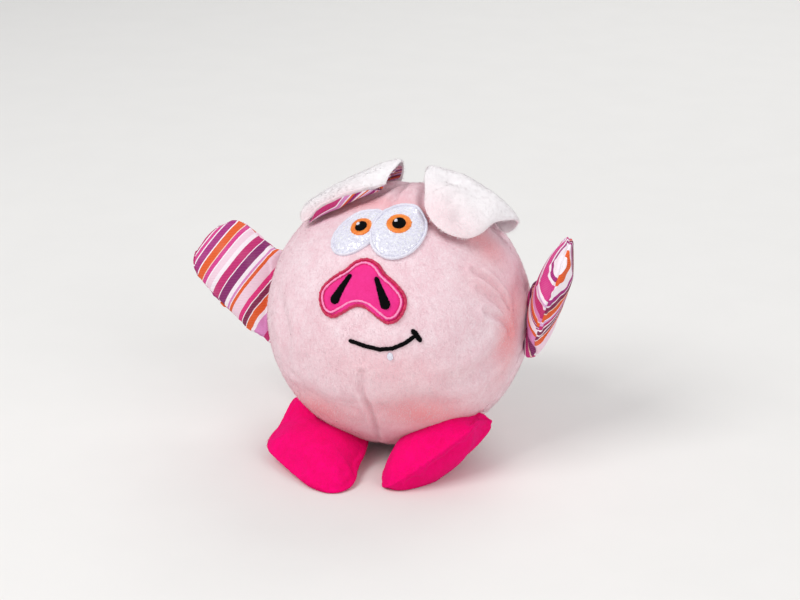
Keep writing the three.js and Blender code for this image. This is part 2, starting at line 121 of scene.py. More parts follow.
@dataclass(frozen=True)
class Field:
    """A shader value, whose arithmetic adds Math nodes."""

    graph: "Graph"
    socket: bpy.types.NodeSocket

    def math(self, operation: str, *others: "Field | float", clamp: bool = False) -> "Field":
        """Adds a Math node.

        Args:
            operation: The node's operation.
            others: Its second and third values.
            clamp: Whether the result is kept between 0 and 1.

        Returns:
            The node's value.
        """
        return self.graph.node("ShaderNodeMath", {"operation": operation, "use_clamp": clamp}, [self, *others])

    def __add__(self, other: "Field | float") -> "Field":
        """Sum."""
        return self.math("ADD", other)

    def __radd__(self, other: float) -> "Field":
        """Reflected sum."""
        return self.math("ADD", other)

    def __sub__(self, other: "Field | float") -> "Field":
        """Difference."""
        return self.math("SUBTRACT", other)

    def __rsub__(self, other: float) -> "Field":
        """Reflected difference."""
        return self.math("MULTIPLY", -1.0).math("ADD", other)

    def __mul__(self, other: "Field | float") -> "Field":
        """Product."""
        return self.math("MULTIPLY", other)

    def __rmul__(self, other: float) -> "Field":
        """Reflected product."""
        return self.math("MULTIPLY", other)

    def sine(self) -> "Field":
        """The value's sine."""
        return self.math("SINE")

    def band(self, low: float, high: float) -> "Field":
        """The share of the way from low to high, from 0 to 1."""
        return ((self - low) * (1.0 / (high - low))).math("ADD", 0.0, clamp=True)


@dataclass
class Graph:
    """A material and the nodes that are added to it."""

    name: str

    def __post_init__(self) -> None:
        """Starts the material with a bare Principled shader."""
        self.material = bpy.data.materials.new(self.name)
        self.material.use_nodes = True
        self.tree = self.material.node_tree
        self.shader = self.tree.nodes["Principled BSDF"]

    def node(
        self,
        kind: str,
        settings: dict[str, object] | None = None,
        values: Sequence[object] | dict[str, object] = (),
        output: int | str = 0,
    ) -> Field:
        """Adds a node.

        Args:
            kind: The node's type.
            settings: Its properties, set first. The key "stops" holds a ramp's places and colours.
            values: The values or links of its sockets, in order or by name.
            output: The socket that is returned.

        Returns:
            The output socket.
        """
        node = self.tree.nodes.new(kind)
        for key, value in (settings or {}).items():
            if key == "stops":
                self._fill_ramp(node.color_ramp, value)
            else:
                setattr(node, key, value)
        pairs = values.items() if isinstance(values, dict) else enumerate(values)
        for key, value in pairs:
            self.feed(node.inputs[key], value)
        return Field(self, node.outputs[output])

    def feed(self, socket: bpy.types.NodeSocket, value: object) -> None:
        """Sets a socket, or links it where the value is a field."""
        if isinstance(value, Field):
            self.tree.links.new(value.socket, socket)
        else:
            socket.default_value = value

    @staticmethod
    def _fill_ramp(ramp: bpy.types.ColorRamp, stops: Sequence[tuple[float, Colour]]) -> None:
        """Gives a ramp its stops, each the start of a flat band."""
        ramp.interpolation = "CONSTANT"
        while len(ramp.elements) > 1:
            ramp.elements.remove(ramp.elements[-1])
        ramp.elements[0].position = stops[0][0]
        ramp.elements[0].color = (*stops[0][1], 1)
        for place, colour in stops[1:]:
            ramp.elements.new(place).color = (*colour, 1)

    def place(self) -> Field:
        """The place on the object, in metres."""
        return self.node("ShaderNodeTexCoord", output="Object")

    def noise(self, size_mm: float, detail: float = 2.0, distortion: float = 0.0, stretch: Point3 = (1, 1, 1)) -> Field:
        """Noise around 0.5 with features of about that size.

        Args:
            size_mm: The size of its features.
            detail: Its octaves.
            distortion: How much it swirls.
            stretch: How much it is packed along each axis.

        Returns:
            The noise value.
        """
        scaled = self.node("ShaderNodeMapping", {}, {"Vector": self.place(), "Scale": stretch})
        values = {"Vector": scaled, "Scale": 1 / (size_mm * MM), "Detail": detail, "Distortion": distortion}
        return self.node("ShaderNodeTexNoise", {}, values)

    def mix(self, share: Field | float, first: object, second: object) -> Field:
        """Colours mixed by a share."""
        node = self.tree.nodes.new("ShaderNodeMix")
        node.data_type = "RGBA"
        for socket, value in zip((node.inputs[0], node.inputs[6], node.inputs[7]), (share, first, second)):
            plain = isinstance(value, tuple) and len(value) == 3
            self.feed(socket, (*value, 1) if plain else value)
        return Field(self, node.outputs[2])

    def finish(
        self,
        colour: object,
        height: Field | None = None,
        depth_mm: float = 0.3,
        strength: float = 1.0,
        **sockets: object,
    ) -> bpy.types.Material:
        """Feeds the shader.

        Args:
            colour: The base colour.
            height: The height that a bump follows.
            depth_mm: How deep the bump is.
            strength: How strongly it shows.
            sockets: Other sockets by name, with _ for spaces.

        Returns:
            The material.
        """
        plain = isinstance(colour, tuple)
        self.feed(self.shader.inputs["Base Color"], (*colour, 1) if plain else colour)
        for name, value in sockets.items():
            self.feed(self.shader.inputs[name.replace("_", " ")], value)
        if height is not None:
            values = {"Height": height, "Distance": depth_mm * MM, "Strength": strength}
            self.feed(self.shader.inputs["Normal"], self.node("ShaderNodeBump", {}, values))
        return self.material


# Finishes


def shade(hex_colour: int) -> Colour:
    """A display colour as linear light."""
    parts = [((hex_colour >> shift) & 255) / 255 for shift in (16, 8, 0)]
    return tuple(c / 12.92 if c <= 0.04045 else ((c + 0.055) / 1.055) ** 2.4 for c in parts)


@dataclass(frozen=True)
class Plush:
    """Short brushed pile: soft patches where it lies differently, over a fine grain."""

    name: str
    deep: int
    light: int
    patch_mm: float = 13.0
    grain_mm: float = 0.7
    patchiness: float = 0.9
    sheen: float = 0.35
    sheen_colour: int | None = None
    blush: int | None = None
    specular: float = 0.4

    def material(self) -> bpy.types.Material:
        """Builds the material."""
        graph = Graph(self.name)
        patches = graph.noise(self.patch_mm, 2.0, 0.6)
        strokes = graph.noise(3.2, 3.0, 1.2, (1, 1, 0.45))
        grain = graph.noise(self.grain_mm, 2.0)
        lie = (patches - 0.5) * self.patchiness + (strokes - 0.5) * 0.7 + (grain - 0.5) * 0.9 + 0.55
        colour = graph.mix(lie.band(0.0, 1.0), shade(self.deep), shade(self.light))
        # The optional second tint colour, mixed in by a share marked on each point of the mesh, is painted warm shade
        # and reflected colour from the pink limbs and cloth nearby.
        if self.blush is not None:
            tint = graph.node("ShaderNodeAttribute", {"attribute_name": "blush"}, output="Fac")
            colour = graph.mix(tint, colour, shade(self.blush))
        height = grain * 0.6 + strokes * 0.9
        tint = (*shade(self.light if self.sheen_colour is None else self.sheen_colour), 1)
        return graph.finish(
            colour, height, 0.55, 0.55, Roughness=0.92, Specular_IOR_Level=self.specular, Sheen_Weight=self.sheen,
            Sheen_Roughness=0.45, Sheen_Tint=tint,
        )  # fmt: skip


@dataclass(frozen=True)
class Pile:
    """The single hairs of a pile, paler at their tips."""

    name: str
    root: int
    tip: int
    sheen_colour: int = 0xFFFFFF

    def material(self) -> bpy.types.Material:
        """Builds the material."""
        graph = Graph(self.name)
        length = graph.node("ShaderNodeAttribute", {"attribute_name": "hair_length"}, output="Fac")
        strokes = graph.noise(3.0, 2.0)
        share = (length * 0.8 + (strokes - 0.5) * 0.8 + 0.1).band(0.0, 1.0)
        colour = graph.mix(share, shade(self.root), shade(self.tip))
        tint = (*shade(self.sheen_colour), 1)
        return graph.finish(colour, Roughness=0.85, Specular_IOR_Level=0.2, Sheen_Weight=0.2, Sheen_Tint=tint)


@dataclass(frozen=True)
class Twill:
    """Cotton twill with woven stripes. The cloth map's u runs across the stripes and v along them."""

    name: str
    bands: tuple[tuple[int, float], ...]
    pitch_mm: float = 1.0

    @property
    def repeat(self) -> float:
        """The width of all the stripes together, in millimetres."""
        return sum(width for _, width in self.bands)

    def material(self) -> bpy.types.Material:
        """Builds the material."""
        graph = Graph(self.name)
        uv = graph.node("ShaderNodeUVMap", {"uv_map": "cloth"})
        across = graph.node("ShaderNodeSeparateXYZ", {}, [uv], "X")
        along = graph.node("ShaderNodeSeparateXYZ", {}, [uv], "Y")
        stops, place = [], 0.0
        for colour, width in self.bands:
            stops.append((place, shade(colour)))
            place += width / self.repeat
        wobble = (graph.noise(1.1, 2.0) - 0.5) * 0.004
        share = (across + wobble).math("FRACT")
        stripes = graph.node("ShaderNodeValToRGB", {"stops": stops}, [share])
        turns = 2 * math.pi / self.pitch_mm
        diagonal = ((across * self.repeat * 0.75 + along) * turns).sine()
        cross = ((across * self.repeat - along * 0.6) * turns * 1.9).sine()
        weave = diagonal * 0.5 + cross * 0.22 + 0.5
        wear = graph.noise(9.0, 3.0)
        pale = graph.mix((0.06 * weave).band(0.0, 1.0), stripes, (1.0, 0.93, 0.95))
        colour = graph.mix(((wear - 0.5) * 0.2).band(0.0, 1.0), pale, shade(0xF6DCE6))
        return graph.finish(colour, weave, 0.22, 0.6, Roughness=0.75, Specular_IOR_Level=0.2)


@dataclass(frozen=True)
class Felt:
    """Pressed felt with short loose fibres."""

    name: str
    deep: int
    light: int

    def material(self) -> bpy.types.Material:
        """Builds the material."""
        graph = Graph(self.name)
        fibres = graph.noise(0.55, 3.0, 2.5, (1.0, 1.0, 1.6))
        mottle = graph.noise(5.0, 2.0, 0.6)
        lie = (fibres - 0.5) * 1.7 + (mottle - 0.5) * 0.7 + 0.5
        colour = graph.mix(lie.band(0.0, 1.0), shade(self.deep), shade(self.light))
        return graph.finish(colour, fibres + mottle * 0.3, 0.35, 0.7, Roughness=0.88, Sheen_Weight=0.08)


@dataclass(frozen=True)
class Thread:
    """Embroidery thread with a soft gloss, in strands of slightly different depth."""

    name: str
    deep: int
    light: int
    roughness: float = 0.42
    strand_mm: float = 0.4
    gloss: float = 0.5

    def material(self) -> bpy.types.Material:
        """Builds the material."""
        graph = Graph(self.name)
        strands = graph.noise(self.strand_mm, 2.0, 0.4)
        depth = graph.noise(2.6, 1.0)
        lie = (strands - 0.5) * 1.5 + (depth - 0.5) * 0.8 + 0.5
        colour = graph.mix(lie.band(0.0, 1.0), shade(self.deep), shade(self.light))
        return graph.finish(
            colour, strands, 0.16, 0.7, Roughness=self.roughness, Specular_IOR_Level=self.gloss,
            Sheen_Weight=self.gloss * 0.3,
        )  # fmt: skip


@dataclass(frozen=True)
class Glitter:
    """Pale cloth that is strewn with small silver flakes."""

    name: str
    cloth: int
    flake: int
    spark: int

    def material(self) -> bpy.types.Material:
        """Builds the material."""
        graph = Graph(self.name)
        values = {"Vector": graph.place(), "Scale": 1 / (0.62 * MM), "Randomness": 1.0}
        flakes = graph.node("ShaderNodeTexVoronoi", {"voronoi_dimensions": "3D"}, values, "Color")
        tone = graph.node("ShaderNodeSeparateXYZ", {}, [flakes], "X")
        tilt = graph.node("ShaderNodeSeparateXYZ", {}, [flakes], "Y")
        sparse = tone.band(0.3, 0.95)
        ground = graph.mix(sparse * 0.75, shade(self.cloth), shade(self.flake))
        # A random share of flakes, picked by the cell's second random value, gets a painted glint: white colour, along
        # with some real metal and gloss.
        glinting = tilt.math("GREATER_THAN", 0.86)
        colour = graph.mix(glinting, ground, shade(self.spark))
        height = tone + graph.noise(0.8, 2.0) * 0.6
        return graph.finish(
            colour, height, 0.22, 0.8, Roughness=0.62 - glinting * 0.35, Metallic=glinting * 0.35, Sheen_Weight=0.1
        )


@dataclass(frozen=True)
class MouldedPlastic:
    """Thin blow-moulded plastic, slightly cloudy."""

    name: str
    colour: int
    roughness: float = 0.4

    def material(self) -> bpy.types.Material:
        """Builds the material."""
        graph = Graph(self.name)
        cloud = graph.noise(6.0, 3.0)
        scuffs = graph.noise(0.9, 3.0, 1.0, (1, 1, 5))
        base = shade(self.colour)
        deep = tuple(c * 0.86 for c in base)
        colour = graph.mix(cloud.band(0.3, 0.75), deep, base)
        return graph.finish(colour, scuffs, 0.05, 0.4, Roughness=self.roughness + (scuffs - 0.5) * 0.3)


PINK, HOT, PLUM, WINE = 0xD8328A, 0xE0207C, 0x850E66, 0x800A48
ORANGE, WHITE, CREAM, LILAC = 0xE4570A, 0xF9EEF5, 0xF5DFCB, 0xDDAAD6
RASPBERRY, MAGENTA, MAUVE, BLUSH = 0xC4186E, 0xA8127A, 0xDA86C0, 0xF4D3E2

ARM_RIGHT_TWILL = Twill("striped_twill", (
    (MAUVE, 5.8), (WHITE, 1.9), (ORANGE, 3.4), (WHITE, 0.4), (WINE, 2.5), (WHITE, 0.5), (HOT, 2.1), (BLUSH, 4.9),
    (ORANGE, 1.5), (WHITE, 0.6), (MAUVE, 1.0), (WHITE, 2.2), (PLUM, 3.9), (WHITE, 0.5), (RASPBERRY, 3.9), (WHITE, 2.4),
    (BLUSH, 2.9), (WHITE, 0.6), (PINK, 2.2), (CREAM, 0.6), (ORANGE, 3.8), (WHITE, 0.6), (MAGENTA, 3.8), (WHITE, 0.7),
    (PINK, 1.8), (WHITE, 0.7), (RASPBERRY, 3.0),
))  # fmt: skip
ARM_LEFT_INNER_TWILL = Twill("arm_left_inner_twill", (
    (PLUM, 3.0), (WHITE, 0.6), (PINK, 2.6), (CREAM, 0.8), (PLUM, 5.0), (MAUVE, 4.6), (ORANGE, 1.4), (WHITE, 2.8),
    (MAGENTA, 0.6), (WHITE, 0.3), (WINE, 0.5), (ORANGE, 1.9), (CREAM, 0.5), (MAUVE, 2.2), (RASPBERRY, 4.4),
    (WHITE, 1.2), (LILAC, 1.3), (WHITE, 1.3), (PINK, 6.6), (WHITE, 1.4), (MAGENTA, 1.8), (WHITE, 16.0),
))  # fmt: skip
ARM_LEFT_OUTER_TWILL = Twill("arm_left_outer_twill", (
    (PINK, 3.0), (WHITE, 1.0), (ORANGE, 3.0), (CREAM, 0.6), (MAUVE, 3.0), (WHITE, 2.0), (RASPBERRY, 3.4), (WHITE, 0.8),
    (BLUSH, 2.7), (ORANGE, 1.5), (WHITE, 0.6), (WINE, 1.6), (WHITE, 0.8), (WINE, 1.4), (WHITE, 0.6), (RASPBERRY, 1.6),
    (LILAC, 1.0), (WHITE, 0.5), (ORANGE, 3.0), (CREAM, 0.5), (WINE, 2.1), (WHITE, 0.5), (MAGENTA, 1.8), (WHITE, 3.8),
    (ORANGE, 2.6), (WHITE, 12.0),
))  # fmt: skip
EAR_TWILL = Twill("ear_lining_twill", (
    (ORANGE, 0.9), (WINE, 1.1), (LILAC, 1.2), (ORANGE, 0.7), (WHITE, 0.5), (MAGENTA, 0.9), (PLUM, 0.6), (LILAC, 1.0),
    (WHITE, 0.3), (ORANGE, 0.7), (WHITE, 1.0), (MAGENTA, 0.7), (PLUM, 0.8), (ORANGE, 0.9), (WHITE, 0.7), (MAUVE, 1.8),
    (WHITE, 0.5), (RASPBERRY, 2.7), (WHITE, 0.6), (MAUVE, 0.8),
))  # fmt: skip


class Finishes:
    """Every finish of the toy, made once."""

    def __init__(self) -> None:
        """Makes the materials."""
        # The pink and white plushes' tint colours (0xEA8488, 0xF1C6CD) are painted shade: warm shade and reflected limb
        # colour on the ball, pink shade on the ears.
        self.pink_plush = Plush("pink_plush", 0xE6B8C2, 0xF5E2E7, sheen=0.1, blush=0xEA8488).material()
        self.hot_pink_plush = Plush(
            "hot_pink_plush", 0xE8005C, 0xFF007C, patch_mm=8.0, grain_mm=0.6, patchiness=0.7, sheen=0.3,
            sheen_colour=0xC040C0, specular=0.1,
        ).material()  # fmt: skip
        self.white_plush = Plush(
            "white_plush", 0xF0EAEB, 0xFBF8F9, patch_mm=9.0, grain_mm=0.8, patchiness=0.8, sheen=0.12, blush=0xF1C6CD
        ).material()
        self.pink_pile = Pile("pink_pile", 0xE9BDC7, 0xF7E3E8).material()
        self.hot_pink_pile = Pile("hot_pink_pile", 0xE60060, 0xFF1090, sheen_colour=0xC040C0).material()
        self.white_pile = Pile("white_pile", 0xF4EFF0, 0xFDFBFB).material()
        twills = (ARM_RIGHT_TWILL, ARM_LEFT_INNER_TWILL, ARM_LEFT_OUTER_TWILL, EAR_TWILL)
        self.twills = {twill: twill.material() for twill in twills}
        self.snout_felt = Felt("snout_felt", 0xE60F78, 0xFF36A0).material()
        self.raspberry_thread = Thread("raspberry_thread", 0xA00238, 0xE4145C).material()
        self.pale_thread = Thread("pale_thread", 0xF46CAC, 0xFFA8D0).material()
        self.black_thread = Thread("black_thread", 0x020203, 0x0A090B, roughness=0.7, gloss=0.05).material()
        self.white_thread = Thread("white_thread", 0xCFCBDD, 0xF7F5FC).material()
        self.orange_thread = Thread("orange_thread", 0xD9540A, 0xFF9A2A).material()
        self.glitter_cloth = Glitter("glitter_cloth", 0xE7E5F0, 0xC9C7DA, 0xFFFFFF).material()
        self.squeaker_plastic = MouldedPlastic("squeaker_plastic", 0xEEEEEA).material()


# Mesh helpers


def use(piece: bpy.types.Object) -> None:
    """Selects one object and makes it the active one."""
    bpy.ops.object.select_all(action="DESELECT")
    piece.select_set(True)
    bpy.context.view_layer.objects.active = piece


def read(rows: Sequence[object], key: str, kind: type, width: int = 1) -> np.ndarray:
    """Reads one property of all of a mesh's points, corners or faces.

    Args:
        rows: The mesh's collection of them.
        key: The property.
        kind: Its kind of number.
        width: How many numbers it has.

    Returns:
        One row for each, or one number where the width is 1.
    """
    flat = np.empty(len(rows) * width, kind)
    rows.foreach_get(key, flat)
    return flat.reshape(-1, width) if width > 1 else flat


def places(piece: bpy.types.Object) -> np.ndarray:
    """The mesh's points, one row each."""
    return read(piece.data.vertices, "co", np.float32, 3).astype(float)


def normals_of(piece: bpy.types.Object) -> np.ndarray:
    """The directions that the mesh's points face, one row each."""
    return read(piece.data.vertex_normals, "vector", np.float32, 3).astype(float)


def lay_map(piece: bpy.types.Object, uv: np.ndarray) -> None:
    """Gives each face corner its place on the cloth map."""
    layer = piece.data.uv_layers.active or piece.data.uv_layers.new()
    layer.name = "cloth"
    layer.data.foreach_set("uv", uv.astype(np.float32).ravel())


def mark(mesh: bpy.types.Mesh, name: str, values: np.ndarray) -> None:
    """Gives each point a number that the mesh's material reads."""
    layer = mesh.attributes.new(name, "FLOAT", "POINT")
    layer.data.foreach_set("value", values.astype(np.float32))


def put(piece: bpy.types.Object, points: np.ndarray) -> None:
    """Moves the mesh's points to these places."""
    piece.data.vertices.foreach_set("co", points.astype(np.float32).ravel())
    piece.data.update()


def blank(kind: str, name: str, **sizes: float) -> bpy.types.Object:
    """A primitive as the start of a piece.

    Args:
        kind: The operator's name after primitive_.
        name: The piece's name.
        sizes: The operator's options.

    Returns:
        The new object, alone in the selection.
    """
    bpy.ops.object.select_all(action="DESELECT")
    getattr(bpy.ops.mesh, f"primitive_{kind}_add")(**sizes)
    piece = bpy.context.object
    piece.name = name
    piece.data.name = name
    if kind == "uv_sphere":
        sort_faces(piece.data)
    return piece


def sort_faces(mesh: bpy.types.Mesh) -> None:
    """Puts a mesh's faces and edges in order, because a new sphere has them in another order on each run."""
    points = read(mesh.vertices, "co", np.float32, 3)
    faces = []
    for face in mesh.polygons:
        corners, loops = list(face.vertices), list(face.loop_indices)
        first = corners.index(min(corners))
        faces.append((corners[first:] + corners[:first], loops[first:] + loops[:first]))
    faces.sort()
    uv = read(mesh.uv_layers.active.data, "uv", np.float32, 2)[np.concatenate([loops for _, loops in faces])]
    sides = [tuple(sorted(pair)) for corners, _ in faces for pair in zip(corners, corners[1:] + corners[:1])]
    edges = sorted(set(sides))
    number = {edge: k for k, edge in enumerate(edges)}
    starts = np.cumsum([0] + [len(corners) for corners, _ in faces[:-1]])
    mesh.clear_geometry()
    mesh.vertices.add(len(points))
    mesh.edges.add(len(edges))
    mesh.loops.add(len(sides))
    mesh.polygons.add(len(faces))
    mesh.vertices.foreach_set("co", points.ravel())
    mesh.edges.foreach_set("vertices", np.array(edges, np.int32).ravel())
    mesh.loops.foreach_set("vertex_index", np.concatenate([corners for corners, _ in faces]).astype(np.int32))
    mesh.loops.foreach_set("edge_index", np.array([number[side] for side in sides], np.int32))
    mesh.polygons.foreach_set("loop_start", starts.astype(np.int32))
    mesh.update()
    mesh.uv_layers.new().data.foreach_set("uv", uv.ravel())


def edit(piece: bpy.types.Object, *steps: Callable[[], object]) -> None:
    """Runs edit-mode operators on all of a piece."""
    use(piece)
    bpy.ops.object.mode_set(mode="EDIT")
    bpy.ops.mesh.select_all(action="SELECT")
    for step in steps:
        step()
    bpy.ops.object.mode_set(mode="OBJECT")


def outward(piece: bpy.types.Object) -> None:
    """Turns all faces outwards."""
    edit(piece, lambda: bpy.ops.mesh.normals_make_consistent(inside=False))


def refine(piece: bpy.types.Object) -> None:
    """Subdivides a piece smoothly, once."""
    use(piece)
    smoother = piece.modifiers.new("Subdivision", "SUBSURF")
    smoother.levels = 1
    bpy.ops.object.modifier_apply(modifier=smoother.name)


def dress(piece: bpy.types.Object, *materials: bpy.types.Material, smooth: bool = True) -> None:
    """Gives a piece its materials, and smooth faces."""
    if piece.data.materials:
        piece.data.materials.clear()
    for material in materials:
        piece.data.materials.append(material)
    piece.data.polygons.foreach_set("use_smooth", [smooth] * len(piece.data.polygons))
    piece.data.update()


def swell(piece: bpy.types.Object, held: np.ndarray, pressure: float, cap_mm: float, slack: float) -> None:
    """Lets a stuffed piece fill out while its seams are held.

    Args:
        piece: The piece, in metres.
        held: Which of its points don't move.
        pressure: The pressure inside.
        cap_mm: How far a point may move.
        slack: How much longer the cloth is than the blank, which gives it its puckers.
    """
    use(piece)
    before = places(piece)
    seam = piece.vertex_groups.new(name="seam")
    seam.add([int(i) for i in np.nonzero(held)[0]], 1.0, "REPLACE")
    cloth = piece.modifiers.new("Cloth", "CLOTH")
    cloth.settings.use_pressure = True
    cloth.settings.uniform_pressure_force = pressure
    cloth.settings.effector_weights.gravity = 0
    cloth.settings.vertex_group_mass = "seam"
    cloth.settings.shrink_min = -slack
    cloth.settings.bending_stiffness = 0.8
    cloth.collision_settings.use_collision = False
    scene = bpy.context.scene
    for frame in range(1, SWELL_FRAMES + 1):
        scene.frame_set(frame)
    settled = piece.evaluated_get(bpy.context.evaluated_depsgraph_get())
    step = read(settled.data.vertices, "co", np.float32, 3) - before
    length = np.linalg.norm(step, axis=1, keepdims=True)
    step *= np.minimum(1, cap_mm * MM / np.maximum(length, 1e-9))
    piece.modifiers.remove(cloth)
    piece.vertex_groups.remove(seam)
    scene.frame_set(1)
    put(piece, before + np.nan_to_num(step))


def curve_span(a: np.ndarray, b: np.ndarray, c: np.ndarray, d: np.ndarray) -> np.ndarray:
    """The places from b towards c of a smooth curve through four points."""
    t = np.linspace(0, 1, CURVE_STEPS, endpoint=False)[:, None]
    return b + 0.5 * t * (c - a + t * (2 * a - 5 * b + 4 * c - d + t * (3 * (b - c) + d - a)))


def closed_curve(points: Sequence[Point2], count: int) -> np.ndarray:
    """A smooth closed curve through points, as evenly spaced places.

    Args:
        points: What it passes through.
        count: How many places are wanted.

    Returns:
        One row for each place, the first at the first point.
    """
    given = np.array(points, float)
    spans = zip(*(np.roll(given, shift, axis=0) for shift in (1, 0, -1, -2)))
    line = np.vstack([*(curve_span(*corners) for corners in spans), given[:1]])
    return evenly(line, count + 1)[:-1]


def smooth_line(points: Sequence[Point2]) -> tuple[np.ndarray, np.ndarray]:
    """A smooth open curve through points.

    Args:
        points: What it passes through.

    Returns:
        Its places, and how far along it each one is.
    """
    given = np.array(points, float)
    given = np.vstack([given[:1], given, given[-1:]])
    spans = zip(given[:-3], given[1:-2], given[2:-1], given[3:])
    line = np.vstack([*(curve_span(*corners) for corners in spans), given[-1:]])
    return line, travel(line)


def strides(line: np.ndarray) -> np.ndarray:
    """The distances between neighbours in a line of points."""
    return np.linalg.norm(np.diff(line, axis=0), axis=1)


def travel(line: np.ndarray) -> np.ndarray:
    """How far along a line of points each one is."""
    return np.concatenate([[0], np.cumsum(strides(line))])


def evenly(line: np.ndarray, count: int) -> np.ndarray:
    """Places at equal distances along a line of points, both ends included."""
    travelled = travel(line)
    wanted = np.linspace(0, travelled[-1], count)
    return np.stack([np.interp(wanted, travelled, line[:, k]) for k in range(line.shape[1])], 1)


@dataclass
class Outline:
    """A closed outline that is drawn in spokes from its middle."""

    points: Sequence[Point2]
    spokes: int = 96

    def __post_init__(self) -> None:
        """Spaces the outline's places evenly."""
        self.rim = closed_curve(self.points, self.spokes)
        self.middle = self.rim.mean(axis=0)

    def at(self, turn: np.ndarray, share: np.ndarray) -> np.ndarray:
        """The places at a share of the way from the middle to the rim, a turn of 1 being once round."""
        along = (turn % 1.0) * self.spokes
        low = np.floor(along).astype(int) % self.spokes
        part = (along - np.floor(along))[:, None]
        rim = self.rim[low] * (1 - part) + self.rim[(low + 1) % self.spokes] * part
        return self.middle + (rim - self.middle) * share[:, None]


def to_world(points: np.ndarray) -> np.ndarray:
    """Points of the toy's frame in millimetres, as the model's metres."""
    return points * MM @ WORLD_TURN.T + WORLD_SHIFT


def to_toy(points: np.ndarray) -> np.ndarray:
    """Points of the model in metres, as the toy's millimetres."""
    return (points - WORLD_SHIFT) @ WORLD_TURN / MM


def unit(vectors: np.ndarray) -> np.ndarray:
    """The vectors at length 1."""
    return vectors / np.maximum(np.linalg.norm(vectors, axis=-1, keepdims=True), 1e-9)


def ripple(points: np.ndarray, size: float, seed: int) -> np.ndarray:
    """Smooth lumps of about that size, from -1 to 1, the same on each run."""
    dice = np.random.default_rng(seed)
    total = np.zeros(len(points))
    for _ in range(9):
        way = unit(dice.normal(size=3))
        total += np.sin(points @ way * (2 * math.pi / size) * dice.uniform(0.7, 1.3) + dice.uniform(0, 6.3))
    return total / 5.0


# Piles


@dataclass(frozen=True)
class Hairs:
    """How a pile grows.

    The sizes are in millimetres, the comb is the way that the hairs lie in the toy's frame, and upright is how much
    they rise for their lie along the cloth.
    """

    count: int
    length: float
    width: float
    comb: Point3
    seed: int
    upright: float


def grow_pile(ground: bpy.types.Object, name: str, hairs: Hairs) -> bpy.types.Object:
    """Short hairs on a cloth, each one thin triangle that is shaded like the cloth under it.

    Args:
        ground: The cloth.
        name: The pile's name.
        hairs: How it grows.

    Returns:
        The pile.
    """
    mesh = ground.data
    mesh.calc_loop_triangles()
    corners = np.array([t.vertices for t in mesh.loop_triangles])
    points, normals = places(ground), normals_of(ground)
    a, b, c = (points[corners[:, k]] for k in range(3))
    area = np.linalg.norm(np.cross(b - a, c - a), axis=1)
    count, dice = hairs.count, np.random.default_rng(hairs.seed)
    pick = dice.choice(len(corners), count, p=area / area.sum())
    u, v = dice.random((2, count, 1))
    u, v = np.where(u + v > 1, 1 - u, u), np.where(u + v > 1, 1 - v, v)
    root = a[pick] * (1 - u - v) + b[pick] * u + c[pick] * v
    n = unit(sum(normals[corners[pick, k]] * w for k, w in enumerate((1 - u - v, u, v))))
    lean = np.array(hairs.comb, float) @ WORLD_TURN.T
    swirl = np.stack([ripple(root / MM, 14, hairs.seed + k) for k in (1, 2, 3)], 1) * 0.45
    way = lean + swirl + dice.normal(0, 0.25, (count, 3))
    rise = hairs.upright * dice.uniform(0.6, 1.4, (count, 1))
    way = unit(way - n * np.sum(way * n, 1, keepdims=True)) + n * rise
    way = unit(way)
    size = hairs.length * dice.uniform(0.6, 1.15, (count, 1)) * MM
    flat = unit(np.cross(way, n))
    roll = np.clip(dice.normal(0, 0.4, (count, 1)), -0.8, 0.8)
    side = (flat * np.cos(roll) + np.cross(way, flat) * np.sin(roll)) * hairs.width * MM / 2
    tip = root + way * size
    root = root - n * 0.1 * MM
    cloud = np.stack([root - side, root + side, tip], 1).reshape(-1, 3)
    pile = bpy.data.meshes.new(name)
    pile.vertices.add(len(cloud))
    pile.vertices.foreach_set("co", cloud.astype(np.float32).ravel())
    pile.loops.add(len(cloud))
    pile.loops.foreach_set("vertex_index", np.arange(len(cloud), dtype=np.int32))
    pile.polygons.add(count)
    pile.polygons.foreach_set("loop_start", np.arange(0, len(cloud), 3, dtype=np.int32))
    pile.update(calc_edges=True)
    mark(pile, "hair_length", np.tile([0.0, 0.0, 1.0], count))
    pile.polygons.foreach_set("use_smooth", [True] * count)
    pile.normals_split_custom_set_from_vertices(np.repeat(n, 3, axis=0).tolist())
    piece = bpy.data.objects.new(name, pile)
    bpy.context.collection.objects.link(piece)
    return piece


# The ball


@dataclass(frozen=True)
class Fold:
    """A crease or a swelling of the ball's cloth along a line of the face chart."""

    line: tuple[Point2, ...]
    depth: float
    width: float
    lip: float = 0.35

    def lift(self, chart: np.ndarray) -> np.ndarray:
        """How far it lifts the cloth at places of the chart, in millimetres."""
        distance = np.full(len(chart), 1e9)
        fade = np.zeros(len(chart))
        line = np.array(self.line, float)
        lengths = travel(line)
        for k, (a, b) in enumerate(zip(line[:-1], line[1:])):
            span = b - a
            t = np.clip((chart - a) @ span / (span @ span), 0, 1)
            away = np.linalg.norm(chart - a - t[:, None] * span, axis=1)
            share = (lengths[k] + t * np.linalg.norm(span)) / lengths[-1]
            nearer = away < distance
            distance = np.where(nearer, away, distance)
            fade = np.where(nearer, np.sin(math.pi * np.clip(share, 0.06, 0.94)) ** 0.5, fade)
        near = distance / self.width
        return fade * self.depth * (-np.exp(-(near**2)) + self.lip * np.exp(-((near - 1.9) ** 2)))


def chart_of(directions: np.ndarray) -> np.ndarray:
    """Directions from the ball's middle, as places of the face chart: x to the toy's left, y up."""
    angle = np.arccos(np.clip(directions @ FACE_AHEAD, -1, 1))
    flat = np.stack([directions[:, 0], directions @ FACE_UPWARD], 1)
    return unit(flat) * (angle * BALL_RADIUS)[:, None]


def face_direction(chart: np.ndarray) -> np.ndarray:
    """Places of the face chart, as directions from the ball's middle."""
    angle = np.linalg.norm(chart, axis=1) / BALL_RADIUS
    flat = unit(chart) * np.sin(angle)[:, None]
    sideways = flat[:, :1] * np.array([1.0, 0, 0])
    return sideways + flat[:, 1:] * FACE_UPWARD + np.cos(angle)[:, None] * FACE_AHEAD


